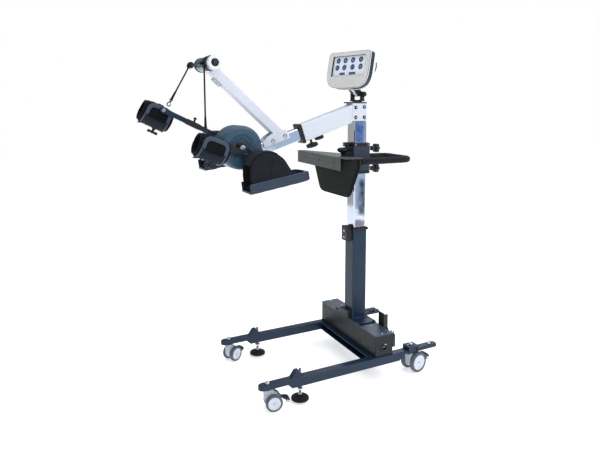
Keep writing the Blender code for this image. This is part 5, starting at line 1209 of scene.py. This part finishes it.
HZ = 1.040
loop = bend([(-0.0570, -0.110, HZ), (0.225, -0.110, HZ), (0.252, -0.085, HZ), (0.252, 0.085, HZ), (0.225, 0.110, HZ), (-0.0570, 0.110, HZ)], 0.030, 10, cyclic=True)
near_grip = spaced(bend([(-0.040, -0.110, HZ), (0.225, -0.110, HZ), (0.252, -0.085, HZ), (0.252, 0.062, HZ)], 0.030, 10), 0.008)
far_grip = spaced(bend([(0.2500, 0.074, HZ), (0.2500, 0.090, HZ), (0.225, 0.110, HZ), (0.060, 0.110, HZ)], 0.020, 8), 0.008)


def grip(points):
    n = len(points)
    radii = [0.93 if i in (0, n - 1) else 0.985 + 0.015 * math.sin(i * 0.9) for i in range(n)]
    return pipe(points, 0.0166, resolution=8, radii=radii)


def end_ring(p, towards):
    d = Vector(towards).normalized()
    m = axes(p, (0, 0, 1), tuple(d))
    return lathe("Z", (0, 0), [(0.0110, -0.0035), (0.0150, -0.0035), (0.0172, -0.0022), (0.0174, 0.0015), (0.0150, 0.0030), (0.0110, 0.0030), (0.0110, -0.0035)], m, steps=44)


parts = [(pipe(loop, 0.0110, cyclic=True, resolution=8), BLACK_METAL), (grip(near_grip), FOAM), (grip(far_grip), FOAM),
         (end_ring((-0.040, -0.110, HZ), (1, 0, 0)), BLACK), (end_ring((0.252, 0.062, HZ), (0, 1, 0)), BLACK),
         (end_ring((0.2500, 0.074, HZ), (0, 1, 0)), BLACK), (end_ring((0.060, 0.110, HZ), (1, 0, 0)), BLACK)]
add("handle_loop", "collar", parts, ("push_handle",), "grip_foam")


def star_line(cx, cy_, r, lobes=6, n=120):
    return [((r * (0.90 + 0.10 * math.cos(lobes * q * 2 * math.pi / n))) * math.cos(q * 2 * math.pi / n) + cx,
             (r * (0.90 + 0.10 * math.cos(lobes * q * 2 * math.pi / n))) * math.sin(q * 2 * math.pi / n) + cy_) for q in range(n)]


for name, z in (("collar_knob_upper", 1.096), ("collar_knob_lower", 0.994)):
    parts = [(flat("YZ", star_line(-0.020, z, 0.024), (0.0920, 0.1128), bevel=0.0034, segments=4), BLACK),
             # blue cap in the knob's face: a painted highlight
             (lathe("X", (-0.020, z), [(0, 0.1146), (0.0090, 0.1144), (0.0110, 0.1136), (0.0116, 0.1122), (0, 0.1120)], steps=40), DRUM_BLUE),
             (lathe("X", (-0.020, z), [(0.0042, 0.0700), (0.0105, 0.0702), (0.0112, 0.0715), (0.0122, 0.0800), (0.0140, 0.0925), (0, 0.0925)], steps=36), BLACK),
             (rod("X", (-0.020, z), (0.0363, 0.0715), 0.0041, segments=20), BOLT)]
    add(f"star_{name}", name, parts, (name,), "black_plastic")
parts = [(lathe("Z", (-0.080, 0.0), [(0, 1.1028), (0.0100, 1.1028), (0.0140, 1.1026), (0.0220, 1.1008), (0.0270, 1.0972), (0.0290, 1.0922), (0.0288, 1.0882), (0.0264, 1.0836), (0.0210, 1.0800), (0.0140, 1.0772), (0.0108, 1.0720), (0.0100, 1.0603), (0.0042, 1.0603), (0.0042, 1.0518), (0, 1.0518)], steps=64), BLACK),
         # lighter blue-grey disc on the knob's top: a painted highlight
         (lathe("Z", (-0.080, 0.0), [(0, 1.1037), (0.0095, 1.1035), (0.0120, 1.1030), (0.0134, 1.1022), (0.0134, 1.1010), (0, 1.1010)], steps=44), COVER)]
for q in range(14):
    an = 2 * math.pi * q / 14
    parts.append((rod("Z", (-0.080 + 0.0286 * math.cos(an), 0.0286 * math.sin(an)), (1.0865, 1.0945), 0.0013, segments=8, bevel=0.0004), BLACK))
add("shelf_clamp_knob", "shelf_knob", parts, ("shelf_knob",), "black_plastic")

# ------------------------------------------------------------------ console
CONSOLE = (-0.0687, -0.0144, 1.4826)
cy, sy = math.cos(math.radians(15.0)), math.sin(math.radians(15.0))
ct, st = math.cos(math.radians(10.9)), math.sin(math.radians(10.9))
across = Vector((sy, -cy, 0))
facing = Vector((-cy * ct, -sy * ct, st))
rise = across.cross(-facing)
FACE = axes(CONSOLE, across, rise)
POST = axes((0, 0, 1.3655), across, (0, 0, 1))
w, h = 0.275 / 2, 0.182 / 2
face = [*arc((w - 0.018, h - 0.018), 0.018, 0, 90, 12), *arc((-w + 0.018, h - 0.018), 0.018, 90, 180, 12),
        *bend([(-w, 0.020), (-w + 0.001, -0.030), (-w + 0.010, -h + 0.032), (-w + 0.026, -h + 0.014), (-w + 0.052, -h + 0.004), (-0.04, -h), (0.04, -h),
               (w - 0.052, -h + 0.004), (w - 0.026, -h + 0.014), (w - 0.010, -h + 0.032), (w - 0.001, -0.030), (w, 0.020)], 0.016, 6)]


def shrink(outline, by):
    return [(p * (w - by) / w, q * (h - by) / h) for p, q in outline]


sw, sh, su = 0.2165 / 2, 0.100 / 2, 0.0205
front = shaped(flat("XZ", face, (0.0, 0.0066), FACE, bevel=0.0030, segments=4, rim=0.0), ("-", flat("XZ", rounded((-sw, sw), (su - sh, su + sh), 0.0022, 4), (-0.01, 0.03), FACE)))
# black liner round the screen: the recess walls, dark as painted shade inside the screen's recess
recess_shade_liner = shaped(flat("XZ", rounded((-sw - 0.0015, sw + 0.0015), (su - sh - 0.0015, su + sh + 0.0015), 0.003, 4), (0.0012, 0.0125), FACE),
               ("-", flat("XZ", rounded((-sw + 0.0008, sw - 0.0008), (su - sh + 0.0008, su + sh - 0.0008), 0.002, 4), (-0.01, 0.03), FACE)))
back = flat("XZ", shrink(face, 0.0022), (0.0066, 0.0124), FACE)
parts = [(front, BEZEL), (pipe([(q[0], 0.0013, q[1]) for q in shrink(face, 0.0013)], 0.0012, cyclic=True, m=FACE, resolution=3), GASKET), (recess_shade_liner, GLOSS), (shaped(back, ("-", box((-sw - 0.0012, sw + 0.0012), (-0.01, 0.03), (su - sh - 0.0012, su + sh + 0.0012), FACE))), BAND)]
add("console_front", "console", parts, ("console_bezel",), "bezel_plastic")
seam = [(*q,) for q in shrink(face, 0.0010)]
parts = [(flat("XZ", shrink(face, 0.0012), (0.0118, 0.0312), FACE, bevel=0.0008, segments=2), BAND),
         (flat("XZ", shrink(face, 0.0004), (0.0310, 0.0520), FACE, bevel=0.0110, segments=6, rim=0.0520), WHITE_PLASTIC),
         (pipe([(q[0], 0.0311, q[1]) for q in shrink(face, 0.0014)], 0.0010, cyclic=True, m=FACE, resolution=3), GLOSS),
         (shaped(flat("YZ", stadium((0, 0), (-0.036, 0.034), 0.0110, 0.0105, 16), (-0.0275, 0.0275), POST, bevel=0.0018, segments=3), ("-", rod("X", (0, 0), (-0.08, 0.08), 0.0052, m=POST))), BLACK_METAL),
         (shaped(flat("YZ", stadium((0, 0), (-0.036, 0.034), 0.0116, 0.0111, 16), (-0.0090, 0.0090), POST, bevel=0.0010, segments=2), ("-", rod("X", (0, 0), (-0.08, 0.08), 0.0058, m=POST))), WHITE_PLASTIC),
         (rod("X", (0, 0), (-0.0390, 0.0410), 0.0050, m=POST, segments=28), BOLT),
         (lathe("X", (0, 0), [(0.0060, 0.0363), (0.0105, 0.0367), (0.0120, 0.0385), (0.0120, 0.0490), (0.0108, 0.0518), (0.0070, 0.0530), (0, 0.0530)], POST, steps=40), BLACK),
         (lathe("X", (0, 0), [(0.0060, -0.0363), (0.0086, -0.0367), (0.0090, -0.0380), (0.0088, -0.0400), (0.0060, -0.0410), (0, -0.0410)], POST, steps=32), BLACK)]
for q in range(12):
    an = 2 * math.pi * q / 12
    parts.append((rod("X", (0.0119 * math.cos(an), 0.0119 * math.sin(an)), (0.0395, 0.0485), 0.0009, m=POST, segments=8), BLACK))
# ventilation slots, screws and a small handle on the back, all on the rear shell
for q in range(9):
    x = -0.048 + 0.012 * q
    parts.append((flat("XZ", stadium((x, -0.018), (x, 0.018), 0.0020, n=6), (0.0514, 0.0523), FACE), BAND))
for x, z in ((-0.105, 0.062), (0.105, 0.062), (-0.095, -0.055), (0.095, -0.055)):
    parts.append((cap_bolt("Y", (x, z), 0.0518, 1, 0.0042, 0.0020, FACE), BLACK_METAL))
hook_line = bend([(0.120, 0.0450, 0.046), (0.128, 0.0570, 0.044), (0.130, 0.0600, 0.020), (0.126, 0.0570, -0.004), (0.119, 0.0460, -0.008)], 0.008, 5)
parts.append((pipe(hook_line, 0.0026, m=FACE, resolution=5), BLACK_METAL))
add("console_shell", "console", parts, ("console_rear",), "white_paint")

parts = [(box((-sw + 0.0004, sw - 0.0004), (0.0104, 0.0118), (su - sh + 0.0004, su + sh - 0.0004), FACE, bevel=0.0003, segments=1), SCREEN)]


def at_screen(fx, fy):
    return (-sw + fx * 2 * sw, su + sh - fy * 2 * sh)


def disc_at(p, r, y0=0.0100, y1=0.0106):
    return lathe("Y", p, [(0, y0), (r * 0.96, y0), (r, y0 + 0.0002), (r, y1), (0, y1)], FACE, steps=40)


def glyph(kind, p):
    x, z = p
    y = (0.0097, 0.0101)
    if kind == 0:    # play
        return [flat("XZ", [(x - 0.004, z - 0.006), (x + 0.006, z), (x - 0.004, z + 0.006)], y, FACE)]
    if kind == 1:    # pause
        return [flat("XZ", rounded((x - 0.005, x - 0.0015), (z - 0.0055, z + 0.0055), 0.0008, 2), y, FACE), flat("XZ", rounded((x + 0.0015, x + 0.005), (z - 0.0055, z + 0.0055), 0.0008, 2), y, FACE)]
    if kind == 2:    # rising bars
        return [flat("XZ", rounded((x - 0.0065 + 0.0035 * q, x - 0.0042 + 0.0035 * q), (z - 0.006, z - 0.001 + 0.0022 * q), 0.0005, 2), y, FACE) for q in range(4)]
    if kind == 3:    # ring with a hand
        ring_ = [(0.0068, y[0]), (0.0068, y[1]), (0.0054, y[1]), (0.0054, y[0]), (0.0068, y[0])]
        return [lathe("Y", p, ring_, FACE, steps=32), flat("XZ", rounded((x - 0.0007, x + 0.0007), (z - 0.0006, z + 0.0045), 0.0004, 2), y, FACE), flat("XZ", rounded((x - 0.0006, x + 0.0034), (z - 0.0007, z + 0.0007), 0.0004, 2), y, FACE)]
    if kind == 4:    # plus
        return [flat("XZ", rounded((x - 0.0011, x + 0.0011), (z - 0.006, z + 0.006), 0.0006, 2), y, FACE), flat("XZ", rounded((x - 0.006, x + 0.006), (z - 0.0011, z + 0.0011), 0.0006, 2), y, FACE)]
    if kind == 5:    # two curved arrows, as rings
        return [flat("XZ", arc(p, 0.0066, 20, 160, 14) + arc(p, 0.0050, 160, 20, 14), y, FACE), flat("XZ", arc(p, 0.0066, 200, 340, 14) + arc(p, 0.0050, 340, 200, 14), y, FACE)]
    if kind == 6:    # line graph
        return [pipe([(x - 0.0065, 0.0099, z - 0.003), (x - 0.003, 0.0099, z + 0.001), (x, 0.0099, z - 0.0015), (x + 0.003, 0.0099, z + 0.0045), (x + 0.0065, 0.0099, z + 0.001)], 0.0006, m=FACE, resolution=2)]
    return [lathe("Y", p, [(0, y[0]), (0.0026, y[0]), (0.0026, y[1]), (0, y[1])], FACE, steps=24), lathe("Y", p, [(0.0062, y[0]), (0.0062, y[1]), (0.0050, y[1]), (0.0050, y[0]), (0.0062, y[0])], FACE, steps=32)]


icons = [(0.14, 0.20), (0.36, 0.20), (0.59, 0.20), (0.83, 0.20), (0.13, 0.55), (0.35, 0.55), (0.60, 0.55), (0.84, 0.55)]
for k, (fx, fy) in enumerate(icons):
    p = at_screen(fx, fy)
    parts.append((disc_at(p, 0.0140), ICON))
    for g in glyph(k, p):
        parts.append((g, GLYPH))
for fx, wide in ((0.306, 0.036), (0.614, 0.043)):
    x, z = at_screen(fx, 0.86)
    parts.append((flat("XZ", rounded((x - wide / 2, x + wide / 2), (z - 0.00625, z + 0.00625), 0.0022, 4), (0.0099, 0.0106), FACE, bevel=0.0003, segments=1), BUTTON))
    for q in (-1, 0, 1):
        parts.append((flat("XZ", rounded((x + q * wide * 0.27 - 0.0030, x + q * wide * 0.27 + 0.0030), (z - 0.0011, z + 0.0011), 0.0006, 2), (0.0096, 0.0100), FACE), GLYPH))
add("console_display", "console", parts, ("console_screen",), "screen_glass")

low = 1.3273 - 1.3655
parts = [(lathe("Z", (0, 0), [(0, low), (0.0235, low), (0.0240, low + 0.0008), (0.0240, low + 0.0050), (0.0230, low + 0.0060), (0, low + 0.0060)], POST, steps=52), BLACK),
         (box((-0.0365, 0.0365), (-0.0152, 0.0152), (low + 0.0035, low + 0.0102), POST, bevel=0.0016), BLACK_METAL)]
for s in (-1, 1):
    arm_line = rounded((-0.0140, 0.0140), (low + 0.0050, 0.0135), 0.0100, 10)
    parts.append((shaped(flat("YZ", arm_line, tuple(sorted((s * 0.0289, s * 0.0346))), POST, bevel=0.0010, segments=2), ("-", rod("X", (0, 0), (-0.08, 0.08), 0.0053, m=POST))), BLACK_METAL))
    parts.append((cap_bolt("Z", (s * 0.018, 0.0), low + 0.0100, 1, 0.0040, 0.0028, POST), BOLT))
add("console_yoke", "console_yaw", parts, ("console_bracket",), "black_metal")

# ------------------------------------------------------------------ floor, cards, light
bm = bmesh.new()
bmesh.ops.create_grid(bm, x_segments=1, y_segments=1, size=14.0)
floor_mesh = bpy.data.meshes.new("floor")
bm.to_mesh(floor_mesh)
bm.free()
floor = bpy.data.objects.new("studio_floor", floor_mesh)
SCENE.collection.objects.link(floor)
floor_mat = bpy.data.materials.new("floor_pale")
floor_mat.use_nodes = True
fs = floor_mat.node_tree.nodes["Principled BSDF"]
fs.inputs["Base Color"].default_value = (0.90, 0.90, 0.90, 1)
fs.inputs["Roughness"].default_value = 0.9
fs.inputs["Specular IOR Level"].default_value = 0.0
fs.inputs["Emission Color"].default_value = (1, 1, 1, 1)
fs.inputs["Emission Strength"].default_value = 0.55
floor_mesh.materials.append(floor_mat)


def card(name, centre, size, face_to, colour, strength):
    """A panel that only reflections see."""
    d = (Vector(face_to) - Vector(centre)).normalized()
    m = d.to_track_quat("Z", "Y").to_matrix().to_4x4()
    m.translation = Vector(centre) + ORIGIN
    b = bmesh.new()
    bmesh.ops.create_grid(b, x_segments=1, y_segments=1, size=0.5, matrix=m @ Matrix.Diagonal((size[0], size[1], 1, 1)))
    mesh = bpy.data.meshes.new(name)
    b.to_mesh(mesh)
    b.free()
    mat = bpy.data.materials.new(name)
    mat.use_nodes = True
    nt = mat.node_tree
    nt.nodes.clear()
    out_ = nt.nodes.new("ShaderNodeOutputMaterial")
    e = nt.nodes.new("ShaderNodeEmission")
    e.inputs["Color"].default_value = linear(colour)
    e.inputs["Strength"].default_value = strength
    nt.links.new(e.outputs[0], out_.inputs[0])
    mesh.materials.append(mat)
    obj = bpy.data.objects.new(name, mesh)
    SCENE.collection.objects.link(obj)
    obj.visible_camera = False
    obj.visible_diffuse = False
    obj.visible_shadow = False
    obj.visible_transmission = False
    return obj


card("card_blue", (2.0, -3.6, 1.2), (1.6, 2.6), (0, 0, 1.0), (200, 214, 234), 0.95)
card("card_blob_low", (1.345, -2.06, 0.44), (0.065, 0.34), (0, 0, 0.86), (44, 54, 72), 0.9)
card("card_blob_top", (1.305, -2.06, 1.07), (0.085, 0.22), (0, 0, 1.19), (70, 110, 178), 0.9)
card("card_warm", (1.32, -2.06, 0.14), (0.12, 0.16), (0, 0, 0.72), (178, 156, 164), 0.85)
card("card_dark", (3.1, -2.6, 0.6), (0.8, 1.8), (0, 0, 0.8), (70, 84, 104), 1.0)
card("card_left", (-2.6, 3.4, 1.2), (2.2, 2.4), (0, 0, 1.0), (214, 206, 196), 0.75)
card("card_left_dark", (-3.6, 1.8, 0.9), (0.7, 2.0), (0, 0, 0.9), (166, 160, 154), 0.9)

world = bpy.data.worlds.new("studio")
SCENE.world = world
world.use_nodes = True
wt = world.node_tree
wt.nodes.clear()
wo = wt.nodes.new("ShaderNodeOutputWorld")
seen = wt.nodes.new("ShaderNodeBackground")
seen.inputs["Color"].default_value = (1, 1, 1, 1)
seen.inputs["Strength"].default_value = 1.0
lit = wt.nodes.new("ShaderNodeBackground")
lit.inputs["Strength"].default_value = 1.0
tc = wt.nodes.new("ShaderNodeTexCoord")
sep = wt.nodes.new("ShaderNodeSeparateXYZ")
wt.links.new(tc.outputs["Generated"], sep.inputs[0])
ramp = wt.nodes.new("ShaderNodeValToRGB")
ramp.color_ramp.elements[0].position = 0.0
ramp.color_ramp.elements[0].color = (0.27, 0.28, 0.30, 1)
ramp.color_ramp.elements[1].position = 0.85
ramp.color_ramp.elements[1].color = (0.76, 0.78, 0.82, 1)
wt.links.new(sep.outputs["Z"], ramp.inputs[0])
wt.links.new(ramp.outputs[0], lit.inputs["Color"])
dot = wt.nodes.new("ShaderNodeVectorMath")
dot.operation = "DOT_PRODUCT"
dot.inputs[1].default_value = (0.76, -0.65, 0.0)
wt.links.new(tc.outputs["Generated"], dot.inputs[0])
turn = wt.nodes.new("ShaderNodeMapRange")
turn.inputs["From Min"].default_value = -1.0
turn.inputs["From Max"].default_value = 1.0
turn.inputs["To Min"].default_value = 0.48
turn.inputs["To Max"].default_value = 1.22
wt.links.new(dot.outputs["Value"], turn.inputs["Value"])
wt.links.new(turn.outputs["Result"], lit.inputs["Strength"])
path = wt.nodes.new("ShaderNodeLightPath")
mixw = wt.nodes.new("ShaderNodeMixShader")
wt.links.new(path.outputs["Is Camera Ray"], mixw.inputs[0])
wt.links.new(lit.outputs[0], mixw.inputs[1])
wt.links.new(seen.outputs[0], mixw.inputs[2])
wt.links.new(mixw.outputs[0], wo.inputs[0])


def area(name, at, to, size, power, colour=(1, 1, 1)):
    data = bpy.data.lights.new(name, "AREA")
    data.shape = "RECTANGLE"
    data.size, data.size_y = size
    data.energy = power
    data.color = colour
    obj = bpy.data.objects.new(name, data)
    obj.location = Vector(at) + ORIGIN
    obj.rotation_euler = (Vector(to) - Vector(at)).to_track_quat("-Z", "Y").to_euler()
    SCENE.collection.objects.link(obj)
    return obj


area("key", (1.2, -3.2, 3.0), (-0.2, 0, 0.9), (2.2, 2.2), 46, (1.0, 1.0, 1.0))
area("top", (0.0, 0.3, 4.2), (0, 0, 0.5), (4.5, 4.5), 72)
area("rim", (2.2, 2.6, 2.6), (0, 0, 0.9), (1.6, 1.6), 20, (0.95, 0.98, 1.0))
